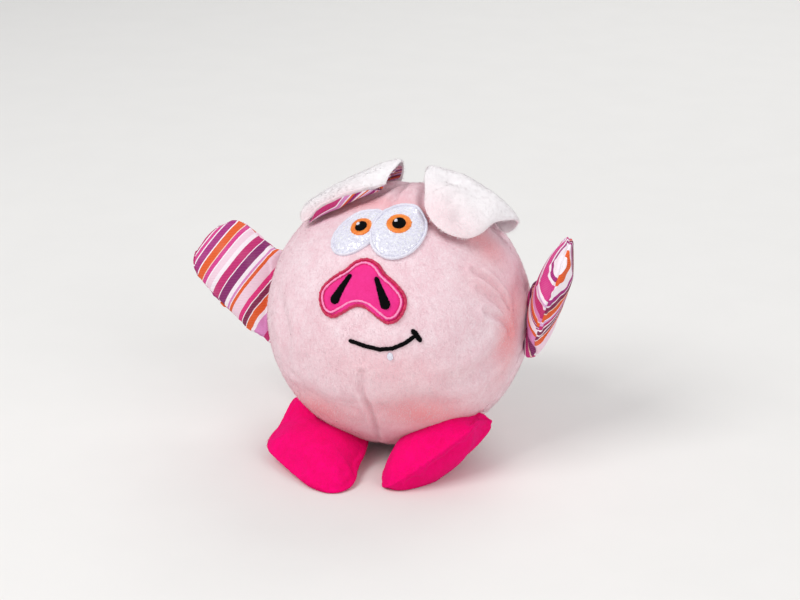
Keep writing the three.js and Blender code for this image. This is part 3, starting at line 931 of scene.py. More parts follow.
@dataclass
class Ball:
    """The stuffed ball: a front and a back panel, a side seam, two darts and the folds of the cloth."""

    finishes: Finishes
    cells: int = 48
    blank_depth: float = 0.6
    held_beside_seam: float = 1.2
    pressure: float = 3.0
    slack: float = 0.012
    swell_cap: float = 1.0
    deepest: float = 1.2
    seam_depth: float = 1.3
    seam_width: float = 1.9
    pucker_height: float = 0.35
    pucker_length: float = 7.5
    lumps: tuple[tuple[float, float, int], ...] = ((0.5, 46, 3), (0.22, 17, 5))
    hairs: Hairs = Hairs(count=90000, length=1.0, width=0.22, comb=(0, 0, -1), seed=3, upright=0.45)
    folds: tuple[Fold, ...] = (
        Fold(((1.6, 66.0), (0.7, 52.0), (0.2, 38.0)), 1.5, 1.8, 0.5),
        Fold(((13.4, 64.0), (15.6, 49.0), (20.6, 35.5)), 1.1, 2.2),
        Fold(((1.5, -47.0), (1.0, -58.0), (3.5, -66.0), (5.6, -76.0), (3.3, -98.0)), 1.9, 1.9, 0.5),
        Fold(((-54.5, -8.0), (-48.3, -19.3), (-45.0, -31.8), (-47.8, -46.0)), 1.7, 4.0),
        Fold(((-50.4, -49.8), (-39.9, -54.5)), 0.7, 2.2),
        Fold(((49.9, 13.4), (57.0, 12.4), (63.8, 9.7), (74.3, 2.0)), 1.7, 1.7, 0.9),
        Fold(((54.0, 5.0), (66.0, 2.0), (76.0, -6.0)), 1.1, 1.8, 0.9),
        Fold(((60.1, -5.5), (71.5, -6.4), (80.0, -12.4)), 1.6, 1.7, 0.9),
        Fold(((80.0, -14.0), (69.5, -31.6), (58.7, -42.7), (47.3, -46.2)), 1.9, 4.5, 0.6),
        Fold(((84.0, 30.0), (81.0, 12.0), (88.0, -8.0)), 2.2, 5.0, 0.2),
        Fold(((22.5, 36.3), (34.2, 28.5), (46.6, 31.0)), 1.4, 4.0),
        Fold(((14.6, -68.0), (32.2, -60.5), (60.7, -62.5)), 1.4, 6.0, 0.2),
        Fold(((-14.6, -72.0), (-32.2, -64.5), (-50.7, -62.5)), 1.2, 6.0, 0.2),
        Fold(((2.0, 82.0), (-6.0, 62.0), (-14.0, 46.0), (-28.0, 36.0), (-48.0, 33.0)), 1.5, 5.0, 0.0),
    )
    # Painted warm shade and reflected limb colour on the ball's cloth, near the feet and arms, under the ears and in
    # folds: each with its middle and size on the face chart, and its strength.
    blushes: tuple[tuple[Point2, Point2, float], ...] = (
        ((34, -68), (26, 11), 0.75), ((-34, -74), (26, 10), 0.7), ((-20, 42), (24, 7), 0.6), ((80, -8), (9, 26), 0.8),
        ((30, 38), (22, 7), 0.7), ((56, 30), (12, 10), 0.5), ((-92, 0), (10, 30), 0.6), ((4, 60), (8, 12), 0.1),
        ((20, -44), (40, 12), 0.2), ((58, 8), (16, 8), 0.2),
    )  # fmt: skip

    def build(self) -> None:
        """Makes the ball and its pile, in metres."""
        ball = blank("cube", "ball_cover", size=2 * BALL_RADIUS)
        edit(
            ball,
            lambda: bpy.ops.mesh.subdivide(number_cuts=self.cells - 1),
            lambda: bpy.ops.transform.tosphere(value=1.0),
        )
        points = unit(places(ball))
        put(ball, to_world(points * (BALL_RADIUS - self.blank_depth)))
        directions = unit(to_toy(places(ball)))
        held = self._seam_distance(directions) < self.held_beside_seam
        swell(ball, held, self.pressure, self.swell_cap, self.slack)
        refine(ball)
        filled = to_toy(places(ball))
        directions = unit(filled)
        radii = np.clip(np.linalg.norm(filled, axis=1), BALL_RADIUS - self.deepest, BALL_RADIUS + self.blank_depth)
        shaped = to_world(directions * (radii + self._lift(directions))[:, None])
        shaped[:, 2] = np.maximum(shaped[:, 2], 0.0)
        put(ball, shaped)
        outward(ball)
        # Each point's share of painted warm shade and reflected limb colour.
        mark(ball.data, "blush", self._blush(chart_of(directions)))
        dress(ball, self.finishes.pink_plush)
        self.tree = BVHTree.FromPolygons(
            [Vector(p) for p in shaped], [tuple(face.vertices) for face in ball.data.polygons]
        )
        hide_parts("front_cover", "back_cover", "stuffing")
        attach(ball, "ball")
        log.info("ball_cover: %d faces", len(ball.data.polygons))
        hairs = grow_pile(ball, "ball_pile", self.hairs)
        dress(hairs, self.finishes.pink_pile)
        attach(hairs, "ball")

    def _seam_distance(self, directions: np.ndarray) -> np.ndarray:
        """How far places are from the side seam or a dart, in millimetres."""
        side = np.abs(directions[:, 1]) * BALL_RADIUS
        latitude = np.degrees(np.arcsin(directions[:, 2]))
        in_dart = (directions[:, 1] < 0) & ((latitude > 53) | (latitude < -42))
        dart = np.where(in_dart, np.abs(directions[:, 0]) * BALL_RADIUS, 99.0)
        return np.minimum(side, dart)

    def _lift(self, directions: np.ndarray) -> np.ndarray:
        """How far the seams, folds and lumps move the cloth, in millimetres."""
        side = np.abs(directions[:, 1]) * BALL_RADIUS
        along = np.arctan2(directions[:, 2], directions[:, 0]) * BALL_RADIUS
        lift = -self.seam_depth * np.exp(-((side / self.seam_width) ** 2))
        pucker = self.pucker_height * np.sin(along * 2 * math.pi / self.pucker_length + 2.2 * np.sin(along / 9.0))
        lift += pucker * np.exp(-(((side - 3.0) / 3.0) ** 2))
        for height, size, seed in self.lumps:
            lift += height * ripple(directions * BALL_RADIUS, size, seed)
        chart = chart_of(directions)
        for fold in self.folds:
            lift += fold.lift(chart)
        return lift

    def _blush(self, chart: np.ndarray) -> np.ndarray:
        """How much painted warm shade and the limbs' reflected colour tint the cloth, in folds, near the limbs and
        under the ears.
        """
        tint = np.zeros(len(chart))
        for (x, y), (wide, high), amount in self.blushes:
            tint += amount * np.exp(-(((chart[:, 0] - x) / wide) ** 2) - ((chart[:, 1] - y) / high) ** 2)
        return np.clip(tint, 0, 1)

    def radius(self, directions: np.ndarray) -> np.ndarray:
        """How far the finished cloth is from the ball's middle, in millimetres."""
        middle = Vector(TO_WORLD.translation)
        found = []
        for ray in directions @ WORLD_TURN.T:
            _, _, _, distance = self.tree.ray_cast(middle, Vector(ray))
            found.append((distance or BALL_RADIUS * MM) / MM)
        return np.array(found)

    def on_face(self, chart: np.ndarray, height: np.ndarray | float) -> np.ndarray:
        """Places of the face chart at a height above the cloth, in the model's metres."""
        directions = face_direction(chart)
        return to_world(directions * (self.radius(directions) + height)[:, None])


# Embroidery and patches


@dataclass
class Embroidery:
    """Satin stitches, felt and glitter cloth on the ball's front."""

    finishes: Finishes
    ball: Ball
    stitch: float = 0.55
    dip: float = 0.3
    ring_raggedness: float = 0.11
    line_raggedness: float = 0.08

    def _settle(self, piece: bpy.types.Object, chart: np.ndarray, heights: np.ndarray, node: str, slot: str) -> None:
        """Bends a blank onto the face, and hands it over.

        Args:
            piece: The blank.
            chart: Its points' places on the face.
            heights: Their heights above the cloth.
            node: The node that it stands for.
            slot: Its finish.
        """
        put(piece, self.ball.on_face(chart, heights))
        edit(piece, lambda: bpy.ops.mesh.remove_doubles(threshold=1e-6))
        outward(piece)
        dress(piece, getattr(self.finishes, slot))
        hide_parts(node)
        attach(piece, "ball")
        log.info("%s: %d faces", piece.name, len(piece.data.polygons))

    def satin_ring(
        self, node: str, slot: str, rim: np.ndarray, inset: float, width: float, height: float, base: float
    ) -> None:
        """A closed line of satin stitches along an outline.

        Args:
            node: The node that it stands for.
            slot: Its finish.
            rim: The outline, as evenly spaced places of the chart.
            inset: How far inside the outline it starts.
            width: Its width.
            height: How thick the thread lies.
            base: How high above the cloth it starts.
        """
        girth = strides(np.vstack([rim, rim[:1]])).sum()
        major = int(girth / self.stitch) * 2
        piece = blank(
            "torus", f"{node}_stitches", major_segments=major, minor_segments=10, major_radius=2, minor_radius=0.5
        )
        points = places(piece)
        turn = (np.arctan2(points[:, 1], points[:, 0]) / (2 * math.pi)) % 1.0
        across = 2.0 - np.hypot(points[:, 0], points[:, 1])
        number = np.round(turn * major).astype(int) % major
        ragged = np.random.default_rng(len(node)).normal(0, self.ring_raggedness, (major, 2))
        low = np.where(number % 2 == 0, 0.0, self.dip)
        reach = np.where(across > 0, ragged[number, 0], ragged[number, 1]) * (number % 2 == 0)
        line = closed_curve([tuple(p) for p in rim[:: max(1, len(rim) // 64)]], major)
        ahead = unit(np.roll(line, -1, axis=0) - np.roll(line, 1, axis=0))
        inward = np.stack([-ahead[:, 1], ahead[:, 0]], 1)
        turning = np.sum(line[:, 0] * np.roll(line[:, 1], -1) - line[:, 1] * np.roll(line[:, 0], -1))
        inward *= 1.0 if turning > 0 else -1.0
        from_rim = inset + width * (0.5 + across) + np.sign(across) * (reach - low * 0.18)
        chart = line[number] + inward[number] * from_rim[:, None]
        arch = points[:, 2] * 2
        heights = base + np.where(arch > 0, arch * height * (1 - low * 0.55), arch * 0.5)
        self._settle(piece, chart, heights, node, slot)

    def satin_line(
        self,
        node: str,
        slot: str,
        line: np.ndarray,
        half_width: Callable[[np.ndarray], np.ndarray],
        height: float,
        base: float,
    ) -> None:
        """An open line of satin stitches, as wide as a function of its length's share says.

        Args:
            node: The node that it stands for.
            slot: Its finish.
            line: Places of the chart along its middle.
            half_width: Its half width for a share of the way.
            height: How thick the thread lies.
            base: How high above the cloth it starts.
        """
        rows = max(6, int(strides(line).sum() / self.stitch) * 2)
        piece = blank("uv_sphere", f"{node}_stitches", segments=12, ring_count=rows, radius=1)
        points = places(piece)
        share = np.arccos(np.clip(-points[:, 2], -1, 1)) / math.pi
        number = np.round(share * rows).astype(int)
        spine = evenly(line, rows + 1)
        ahead = unit(np.gradient(spine, axis=0))
        side = np.stack([-ahead[:, 1], ahead[:, 0]], 1)
        girdle = np.maximum(np.hypot(points[:, 0], points[:, 1]), 1e-6)
        across, arch = points[:, 0] / girdle, points[:, 1] / girdle
        at_pole = (number == 0) | (number == rows)
        across, arch = np.where(at_pole, 0, across), np.where(at_pole, 0, arch)
        ragged = np.random.default_rng(len(node) + 7).normal(0, self.line_raggedness, (rows + 1, 2))
        low = np.where(number % 2 == 0, 0.0, self.dip)
        width = half_width(share) + np.where(across > 0, ragged[number, 0], ragged[number, 1]) - low * 0.12
        chart = spine[number] + side[number] * (across * np.maximum(width, 0.05))[:, None]
        heights = base + np.where(arch > 0, arch * height * (1 - low * 0.5), arch * 0.5)
        self._settle(piece, chart, heights, node, slot)

    def patch(self, node: str, slot: str, outline: Outline, inset: float, height: float, crown: float) -> None:
        """A piece of cloth on the face, slightly crowned.

        Args:
            node: The node that it stands for.
            slot: Its finish.
            outline: Its outline on the chart.
            inset: How much smaller it is cut.
            height: How high its rim stands.
            crown: How much higher its middle is.
        """
        piece = blank("uv_sphere", f"{node}_cloth", segments=96, ring_count=48, radius=1)
        points = places(piece)
        share = np.hypot(points[:, 0], points[:, 1])
        turn = np.arctan2(points[:, 1], points[:, 0]) / (2 * math.pi)
        reach = np.linalg.norm(outline.at(turn, np.ones(len(turn))) - outline.middle, axis=1)
        chart = outline.at(turn, share * (1 - inset / reach))
        top = height * np.clip(1 - share**8, 0, 1) ** 0.5 + crown * (1 - share**2)
        heights = np.where(points[:, 2] > 0.001, top, np.where(points[:, 2] < -0.001, -0.6, 0.0))
        self._settle(piece, chart, heights, node, slot)


@dataclass
class Snout:
    """The felt snout with its border, its line of stitches and its nostrils."""

    work: Embroidery
    offset: float = -0.8
    half: tuple[Point2, ...] = (
        (0, 7.2), (5.5, 5.4), (9.8, 1.2), (15.8, -2.9), (20.6, -8.0), (21.3, -13.6), (18.6, -19.6), (13.4, -21.9),
        (8.0, -19.4), (3.6, -16.6), (0, -15.8),
    )  # fmt: skip
    nostril_top: Point2 = (5.7, -2.2)
    nostril_bottom: Point2 = (12.9, -13.6)
    border: float = 2.0

    def build(self) -> None:
        """Makes the snout's pieces."""
        right = [(self.offset - x, y) for x, y in self.half[1:-1]]
        outline = Outline([(self.offset + x, y) for x, y in self.half] + right[::-1], 240)
        ring = self.work.satin_ring
        self.work.patch("snout_patch", "snout_felt", outline, inset=self.border * 0.5, height=1.3, crown=1.0)
        ring("snout_border", "raspberry_thread", outline.rim, inset=-0.1, width=self.border, height=1.6, base=0.1)
        ring("snout_stitch_line", "pale_thread", outline.rim, inset=2.3, width=1.0, height=0.5, base=1.95)
        for side in Side:
            self._nostril(side)

    def _nostril(self, side: Side) -> None:
        """Makes one nostril, a drop of satin stitches."""
        top = np.array([self.offset + side.value * self.nostril_top[0], self.nostril_top[1] + 0.8])
        bottom = np.array([self.offset + side.value * self.nostril_bottom[0], self.nostril_bottom[1] - 1.6])
        line = top + (bottom - top) * np.linspace(0, 1, 40)[:, None]

        def half_width(share: np.ndarray) -> np.ndarray:
            """The drop's half width: a small round top and a larger round bottom."""
            ends = np.minimum(np.sqrt(np.clip(share / 0.06, 0, 1)), np.sqrt(np.clip((1 - share) / 0.12, 0, 1)))
            return (1.0 + 1.6 * share**1.2) * ends

        self.work.satin_line(f"nostril_{side.word}", "black_thread", line, half_width, height=0.95, base=2.1)


@dataclass
class Mouth:
    """The mouth line, its cheek tick and the tooth."""

    work: Embroidery
    line: tuple[Point2, ...] = (
        (-5.2, -31.3), (3.3, -33.2), (10.4, -33.9), (16.4, -32.6), (21.9, -29.4), (24.6, -26.9), (26.4, -25.1),
    )  # fmt: skip
    half_width: float = 1.0
    length: float = 35.0
    tick: tuple[Point2, ...] = ((24.2, -22.4), (26.9, -24.6), (29.5, -27.6))
    tick_half_width: float = 1.3
    tick_length: float = 7.5
    tooth: tuple[Point2, ...] = ((15.3, -34.6), (15.6, -36.5), (15.9, -38.4))
    tooth_half_width: float = 1.5

    def build(self) -> None:
        """Makes the mouth's pieces."""

        def round_ended(half: float, length: float) -> Callable[[np.ndarray], np.ndarray]:
            """A line's half width with round ends."""
            return lambda share: half * np.sqrt(np.clip(np.minimum(share, 1 - share) * length / half, 0.05, 1))

        def drop(share: np.ndarray) -> np.ndarray:
            """The tooth's half width."""
            return self.tooth_half_width * np.sqrt(1 - (2 * share - 1) ** 2 * 0.98)

        stitch = self.work.satin_line
        width = round_ended(self.half_width, self.length)
        tick_width = round_ended(self.tick_half_width, self.tick_length)
        stitch("mouth", "black_thread", np.array(self.line), width, height=0.95, base=0.25)
        stitch("cheek_tick", "black_thread", np.array(self.tick), tick_width, height=1.05, base=0.3)
        stitch("tooth", "white_thread", np.array(self.tooth), drop, height=0.8, base=0.25)


@dataclass(frozen=True)
class EyeSizes:
    """An eye's places and sizes on the face chart."""

    middle: Point2
    half_width: float
    half_height: float
    tilt: float
    iris: Point2
    iris_radius: float
    pupil_radius: float
    glint: Point2
    glint_radius: float
    lift: float

    def rim(self, count: int) -> np.ndarray:
        """The patch's outline, as places of the chart."""
        angle = np.linspace(0, 2 * math.pi, count, endpoint=False)
        tilt = math.radians(self.tilt)
        x, y = self.half_width * np.cos(angle), self.half_height * np.sin(angle)
        turned = np.stack([x * math.cos(tilt) - y * math.sin(tilt), x * math.sin(tilt) + y * math.cos(tilt)], 1)
        return turned + np.array(self.middle)


EYES = {
    Side.RIGHT: EyeSizes(
        middle=(-9.3, 21.6), half_width=10.6, half_height=15.4, tilt=-35, iris=(-7.7, 22.8), iris_radius=5.3,
        pupil_radius=2.9, glint=(-9.3, 23.8), glint_radius=0.9, lift=0.0,
    ),
    Side.LEFT: EyeSizes(
        middle=(9.9, 24.4), half_width=12.9, half_height=16.8, tilt=-9, iris=(9.6, 26.2), iris_radius=5.8,
        pupil_radius=3.2, glint=(8.0, 27.0), glint_radius=0.95, lift=0.9,
    ),
}  # fmt: skip


@dataclass
class Eyes:
    """Two glitter-cloth eyes. The left one's patch lies over the right one's."""

    work: Embroidery

    def build(self) -> None:
        """Makes both eyes."""
        for side, eye in EYES.items():
            self._build_eye(side, eye)

    def _build_eye(self, side: Side, eye: EyeSizes) -> None:
        """Makes one eye's pieces."""
        work, word = self.work, side.word
        outline = Outline([tuple(p) for p in eye.rim(32)], 192)
        work.patch(f"eye_patch_{word}", "glitter_cloth", outline, inset=0.7, height=0.9 + eye.lift, crown=0.7)
        base = 0.15 + eye.lift * 0.7
        work.satin_ring(
            f"eye_border_{word}", "white_thread", outline.rim, inset=-0.1, width=1.5, height=1.25, base=base
        )
        base = 1.55 + eye.lift
        circle = np.linspace(0, 2 * math.pi, 96, endpoint=False)
        iris = np.array(eye.iris) + eye.iris_radius * np.stack([np.cos(circle), np.sin(circle)], 1)
        width = eye.iris_radius - eye.pupil_radius + 0.3
        work.satin_ring(f"iris_{word}", "orange_thread", iris, inset=0, width=width, height=0.7, base=base - 0.2)
        for part, slot, middle, radius, height in (
            ("pupil", "black_thread", eye.iris, eye.pupil_radius + 0.1, 0.85),
            ("glint", "white_thread", eye.glint, eye.glint_radius, 1.45),
        ):
            line = np.array(middle) + np.array([[0, radius], [0, 0], [0, -radius]])

            def disc(share: np.ndarray, radius: float = radius) -> np.ndarray:
                """The half width of a round spot."""
                return radius * np.sqrt(1.02 - (2 * share - 1) ** 2)

            work.satin_line(f"{part}_{word}", slot, line, disc, height, base - 0.1)


# Limbs


@dataclass
class BentWay:
    """The way that a limb takes from its base: its frame turns from one attitude to another over the bend's length."""

    latitude: float
    start: Quaternion
    end: Quaternion
    bend: float
    reach: float
    longest: float = 72.0
    step: float = 0.25

    def __post_init__(self) -> None:
        """Walks along the limb once, and keeps each step's place and frame."""
        base = seam_basis(self.latitude) @ np.array([BALL_RADIUS, 0, 0])
        count = int(self.longest / self.step)
        frames = np.array([self._turn((k + 0.5) * self.step) for k in range(count + 1)])
        walked = np.cumsum(frames[:, :, 0] * self.reach * self.step, axis=0)
        self.spine = np.vstack([base, base + walked])
        self.turns = np.array([self._turn(k * self.step) for k in range(count + 2)])

    def _turn(self, x: float) -> np.ndarray:
        """The frame at a length along the limb."""
        share = min(max(x / self.bend, 0.0), 1.0)
        share = share * share * (3 - 2 * share)
        return np.array(self.start.slerp(self.end, share).to_matrix())

    def at(self, pattern: np.ndarray, height: np.ndarray) -> np.ndarray:
        """The toy's places for places of the flat pattern and heights above its middle."""
        x = pattern[:, 0]
        k = np.clip(x / self.step, 0, len(self.spine) - 1.001)
        low = np.floor(k).astype(int)
        part = (k - low)[:, None]
        spine = self.spine[low] * (1 - part) + self.spine[low + 1] * part
        turns = self.turns[low] * (1 - part[:, :, None]) + self.turns[low + 1] * part[:, :, None]
        before = np.minimum(x, 0)[:, None] * turns[:, :, 0] * self.reach
        return spine + before + turns[:, :, 1] * pattern[:, 1:] + turns[:, :, 2] * height[:, None]


def seam_basis(latitude: float) -> np.ndarray:
    """A limb's base on the side seam as columns: straight out, up along the seam, and to the front."""
    lat = math.radians(latitude)
    out = np.array([math.cos(lat), 0, math.sin(lat)])
    up = np.array([-math.sin(lat), 0, math.cos(lat)])
    return np.stack([out, up, np.cross(out, up)], 1)


def outwards(side: Side, latitude: float) -> np.ndarray:
    """The direction from the ball's middle to a limb's base."""
    return seam_basis(latitude)[:, 0] * np.array([side.value, 1, 1])


def as_turn(basis: np.ndarray) -> Quaternion:
    """A basis of columns as a quaternion."""
    return Matrix(basis.tolist()).to_quaternion()


@dataclass(frozen=True)
class StripeLayout:
    """How a twill's stripes lie on a pattern: their heading, and where on it the first one starts."""

    twill: Twill
    heading: float
    start: float

    def map(self, pattern: np.ndarray) -> np.ndarray:
        """The cloth map for places of the pattern, u in repeats across the stripes and v in millimetres along them."""
        angle = math.radians(self.heading)
        across = pattern[:, 0] * math.cos(angle) + pattern[:, 1] * math.sin(angle) - self.start
        along = -pattern[:, 0] * math.sin(angle) + pattern[:, 1] * math.cos(angle)
        return np.stack([across / self.twill.repeat, along], 1)


@dataclass
class Pouch:
    """A stuffed pouch of two cloths that are sewn together round their rim."""

    name: str
    side: Side
    outline: Outline
    way: BentWay
    puffs: Point2
    layouts: tuple[StripeLayout, StripeLayout] | None = None
    pressure: float = 5.0
    slack: float = 0.03
    cap: float = 1.6
    seam_depth: float = 0.5
    held_length: float = 2.0
    base_depth: float = 2.5

    def build(self) -> bpy.types.Object:
        """Makes the pouch in place, in metres.

        Returns:
            The pouch, whose rim is its seam.
        """
        piece = blank("uv_sphere", self.name, segments=BLANK_SEGMENTS, ring_count=BLANK_RINGS, radius=1)
        points = places(piece)
        share = np.hypot(points[:, 0], points[:, 1])
        turn = np.arctan2(points[:, 0], points[:, 1]) / (2 * math.pi)
        pattern = self.outline.at(turn, np.minimum(share, 1))
        bulge = np.clip(1 - np.minimum(share, 1) ** 2, 0, 1) ** 0.55
        facing = np.where(points[:, 2] > 0.001, 1, np.where(points[:, 2] < -0.001, -1, 0))
        puff = np.where(facing > 0, self.puffs[0], self.puffs[1]) - 0.5
        toy = self.way.at(pattern, facing * puff * bulge)
        toy[:, 0] *= self.side.value
        put(piece, to_world(toy))
        self._map(piece, pattern, points[:, 2])
        on_rim = share > 0.999
        swell(piece, on_rim | (pattern[:, 0] < self.held_length), self.pressure, self.cap, self.slack)
        around = np.flatnonzero(on_rim)
        rim = places(piece)[around[np.argsort(turn[around])]]
        ahead = np.roll(rim, -1, axis=0)
        rim = np.vstack([rim + (ahead - rim) * k for k in (0, 0.25, 0.5, 0.75)])
        refine(piece)
        if self.side is Side.RIGHT:
            edit(piece, lambda: bpy.ops.mesh.flip_normals())
        self._sew(piece, rim)
        self._keep_out_of_ball(piece)
        return piece

    def _sew(self, piece: bpy.types.Object, rim: np.ndarray) -> None:
        """Draws the cloth in along the seam, with small puckers beside it.

        Args:
            piece: The pouch.
            rim: The places of its seam.
        """
        search = KDTree(len(rim))
        for k, point in enumerate(rim):
            search.insert(point, k)
        search.balance()
        points = places(piece)
        away = np.array([search.find(point)[2] for point in points]) / MM
        pucker = 0.14 * ripple(to_toy(points), 5.0, 41) * np.exp(-(((away - 2.2) / 1.8) ** 2))
        lift = pucker * self.seam_depth * 1.4 - self.seam_depth * np.exp(-((away / 0.9) ** 2))
        put(piece, points + normals_of(piece) * lift[:, None] * MM)

    def _map(self, piece: bpy.types.Object, pattern: np.ndarray, facing: np.ndarray) -> None:
        """Lays the cloth map on both cloths."""
        if self.layouts is None:
            return
        loops = read(piece.data.loops, "vertex_index", np.int32)
        counts = read(piece.data.polygons, "loop_total", np.int32)
        owner = np.repeat(np.arange(len(counts)), counts)
        height = np.bincount(owner, facing[loops]) / counts
        front = self.layouts[0].map(pattern)[loops]
        back = self.layouts[1].map(pattern)[loops]
        piece.data.polygons.foreach_set("material_index", (height < 0).astype(np.int32))
        lay_map(piece, np.where((height[owner] > 0)[:, None], front, back))

    def _keep_out_of_ball(self, piece: bpy.types.Object) -> None:
        """Ends the pouch's base a little under the ball's cloth, and keeps it off the floor."""
        toy = to_toy(places(piece))
        radii = np.linalg.norm(toy, axis=1)
        toy *= (np.maximum(radii, BALL_RADIUS - self.base_depth) / radii)[:, None]
        world = to_world(toy)
        world[:, 2] = np.maximum(world[:, 2], FLOOR_GAP)
        put(piece, world)


@dataclass
class Limb:
    """What all limbs share: how a finished piece takes the place of the nodes it stands for."""

    finishes: Finishes

    def attach(
        self, piece: bpy.types.Object, body: str, slot: str, nodes: Sequence[str], way: tuple[np.ndarray, np.ndarray]
    ) -> None:
        """Hides the nodes that a limb's piece stands for, and bakes the piece's place into its mesh.

        Args:
            piece: The piece, in place.
            body: The body that it ends on; not used.
            slot: Its finish; not used.
            nodes: The nodes that it stands for.
            way: Where the cloth starts to leave the ball, and where it follows the limb alone, in the toy's frame.
        """
        if nodes:
            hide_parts(*nodes)
        start, end = (to_world(p[None])[0] for p in way)
        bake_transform(piece)
        log.info("%s: %d faces", piece.name, len(piece.data.polygons))


@dataclass(frozen=True)
class ArmLie:
    """How one arm leaves the seam, how its stripes run on both cloths, and how far it may fill out."""

    latitude: float
    bend: float
    reach: float
    turn: Point3
    layouts: tuple[StripeLayout, StripeLayout]
    cap: float


ARMS = {
    Side.RIGHT: ArmLie(
        latitude=0.0, bend=40.0, reach=1.0, turn=(0, 0, 0), cap=0.9,
        layouts=(StripeLayout(ARM_RIGHT_TWILL, 33, -8.0), StripeLayout(ARM_RIGHT_TWILL, -20, -19.0)),
    ),
    Side.LEFT: ArmLie(
        latitude=4.0, bend=12.0, reach=0.84, turn=(-50, -67, -17), cap=1.6,
        layouts=(StripeLayout(ARM_LEFT_INNER_TWILL, 0, -4.0), StripeLayout(ARM_LEFT_OUTER_TWILL, -19, -6.0)),
    ),
}  # fmt: skip


@dataclass
class Arms(Limb):
    """Two striped arms, sewn into the side seam."""

    outline: tuple[Point2, ...] = (
        (-2, 22.5), (3, 25.3), (11.4, 29.9), (19.5, 35.6), (26, 37.2), (33, 34), (39.5, 28.5), (44, 21), (45.4, 14.5),
        (42.5, 7.5), (36, 1), (25.7, -7.2), (12.4, -16.2), (4, -19.8), (-2, -21.5), (-2, 0),
    )  # fmt: skip
    left_base: tuple[Point2, ...] = ((4, -18.5), (-2, -17), (-2, -3), (-2, 10), (3, 16), (11.4, 25.5))
    puff: float = 10.0

    def build(self) -> None:
        """Makes both arms."""
        for side, lie in ARMS.items():
            start = as_turn(seam_basis(lie.latitude))
            axes = zip(((1, 0, 0), (0, 1, 0), (0, 0, 1)), lie.turn)
            x, y, z = (Quaternion(axis, math.radians(angle)) for axis, angle in axes)
            way = BentWay(lie.latitude, start, start @ x @ y @ z, lie.bend, lie.reach)
            name = f"arm_{side.word}"
            puffs = (self.puff, self.puff)
            outline = self.outline if side is Side.RIGHT else self.left_base + self.outline[3:-4]
            piece = Pouch(f"{name}_pouch", side, Outline(outline), way, puffs, lie.layouts, cap=lie.cap).build()
            dress(piece, *(self.finishes.twills[layout.twill] for layout in lie.layouts))
            out = outwards(side, lie.latitude)
            nodes = [f"{name}_{part}" for part in ("front", "back", "wadding")]
            self.attach(piece, name, "striped_twill", nodes, (out * (BALL_RADIUS - 1), out * (BALL_RADIUS + 9)))


@dataclass(frozen=True)
class FootLie:
    """How one foot leaves the ball and lies, with the two corners of its outline that differ."""

    swing: float
    bend: float
    heading: float
    roll: float
    dip: float
    reach: float
    puffs: Point2
    corners: tuple[Point2, Point2]


FEET = {
    Side.RIGHT: FootLie(
        swing=62, bend=12, heading=-4, roll=2, dip=9, reach=0.92, puffs=(12.5, 10.0), corners=((8, 22.5), (-3, 22))
    ),
    Side.LEFT: FootLie(
        swing=88, bend=24, heading=3, roll=34, dip=0, reach=0.73, puffs=(14.5, 15.5), corners=((8, 25), (0, 25.5))
    ),
}


@dataclass
class Feet(Limb):
    """Two plush feet, sewn on under the ball."""

    latitude: float = -65.0
    outline: tuple[Point2, ...] = (
        (2, -15), (8, -19.5), (18, -21.5), (37, -21.5), (48, -22.5), (56, -19.5), (59, -13.5), (56, -4.5), (49, 4.5),
        (38, 16), (29, 23.5), (18, 24.5),
    )  # fmt: skip
    inner_corner: Point2 = (0, 4)
    hairs: Hairs = Hairs(count=26000, length=1.1, width=0.2, comb=(0, -0.8, 0), seed=11, upright=0.6)

    def build(self) -> None:
        """Makes both feet."""
        for side, lie in FEET.items():
            turn = np.array(Matrix.Rotation(-math.radians(lie.swing), 3, "Y"))
            start = as_turn(seam_basis(self.latitude) @ turn)
            angle = math.radians(lie.heading)
            toes = Vector((math.sin(angle), -math.cos(angle), 0))
            sideways = Quaternion(toes, math.radians(lie.roll)) @ Vector((-toes.y, toes.x, 0))
            toes = Quaternion(sideways, math.radians(lie.dip)) @ toes
            flat = np.stack([np.array(toes), np.array(sideways), np.array(toes.cross(sideways))], 1)
            way = BentWay(self.latitude, start, as_turn(WORLD_TURN.T @ flat), lie.bend, lie.reach)
            name = f"foot_{side.word}"
            outline = Outline([*self.outline, *lie.corners, self.inner_corner])
            pouch = Pouch(f"{name}_pouch", side, outline, way, lie.puffs, slack=0.02, cap=1.2, seam_depth=0.9)
            piece = pouch.build()
            dress(piece, self.finishes.hot_pink_plush)
            out = outwards(side, self.latitude)
            front = np.array([0.0, -1.0, 0.0])
            nodes = [f"{name}_{part}" for part in ("upper", "sole", "wadding")]
            start_at = out * (BALL_RADIUS - 2)
            ways = (start_at, start_at + (out + front) * 7)
            self.attach(piece, name, "hot_pink_plush", nodes, ways)
            hairs = grow_pile(piece, f"{name}_pile", self.hairs)
            dress(hairs, self.finishes.hot_pink_pile)
            self.attach(hairs, name, "hot_pink_plush", (), ways)


# Ears


@dataclass(frozen=True)
class HangingLie:
    """An ear that hangs forward on the ball: one profile, risen by a factor that changes along the seam."""

    profile: tuple[Point2, ...] = (
        (0, 0.6), (-0.5, 4.6), (3, 8), (10, 8.2), (18, 6.4), (27, 4.4), (38, 3.4), (49, 3.4), (57, 3.4),
    )  # fmt: skip
    inner_rise: float = 0.5
    outer_rise: float = 0.85
    lying_height: float = 3.4
    lining_from: float = 49.0
    crown_turn: float = 0.0
    lining_share: float = 0.95

    def line(self, latitude: float) -> tuple[np.ndarray, np.ndarray]:
        """The ear's section at a latitude, as forward distances and heights, and how far along it they are."""
        line, travelled = smooth_line(self.profile)
        rise = np.interp(latitude, EAR_ENDS, (self.outer_rise, self.inner_rise))
        line[:, 1] += np.maximum(line[:, 1] - self.lying_height, 0) * (rise - 1)
        return line, travelled

    def reach(self, latitude: float, rim: float) -> float:
        """How long the ear is for its length in the pattern, which is the same at each latitude and rim."""
        return 1.0


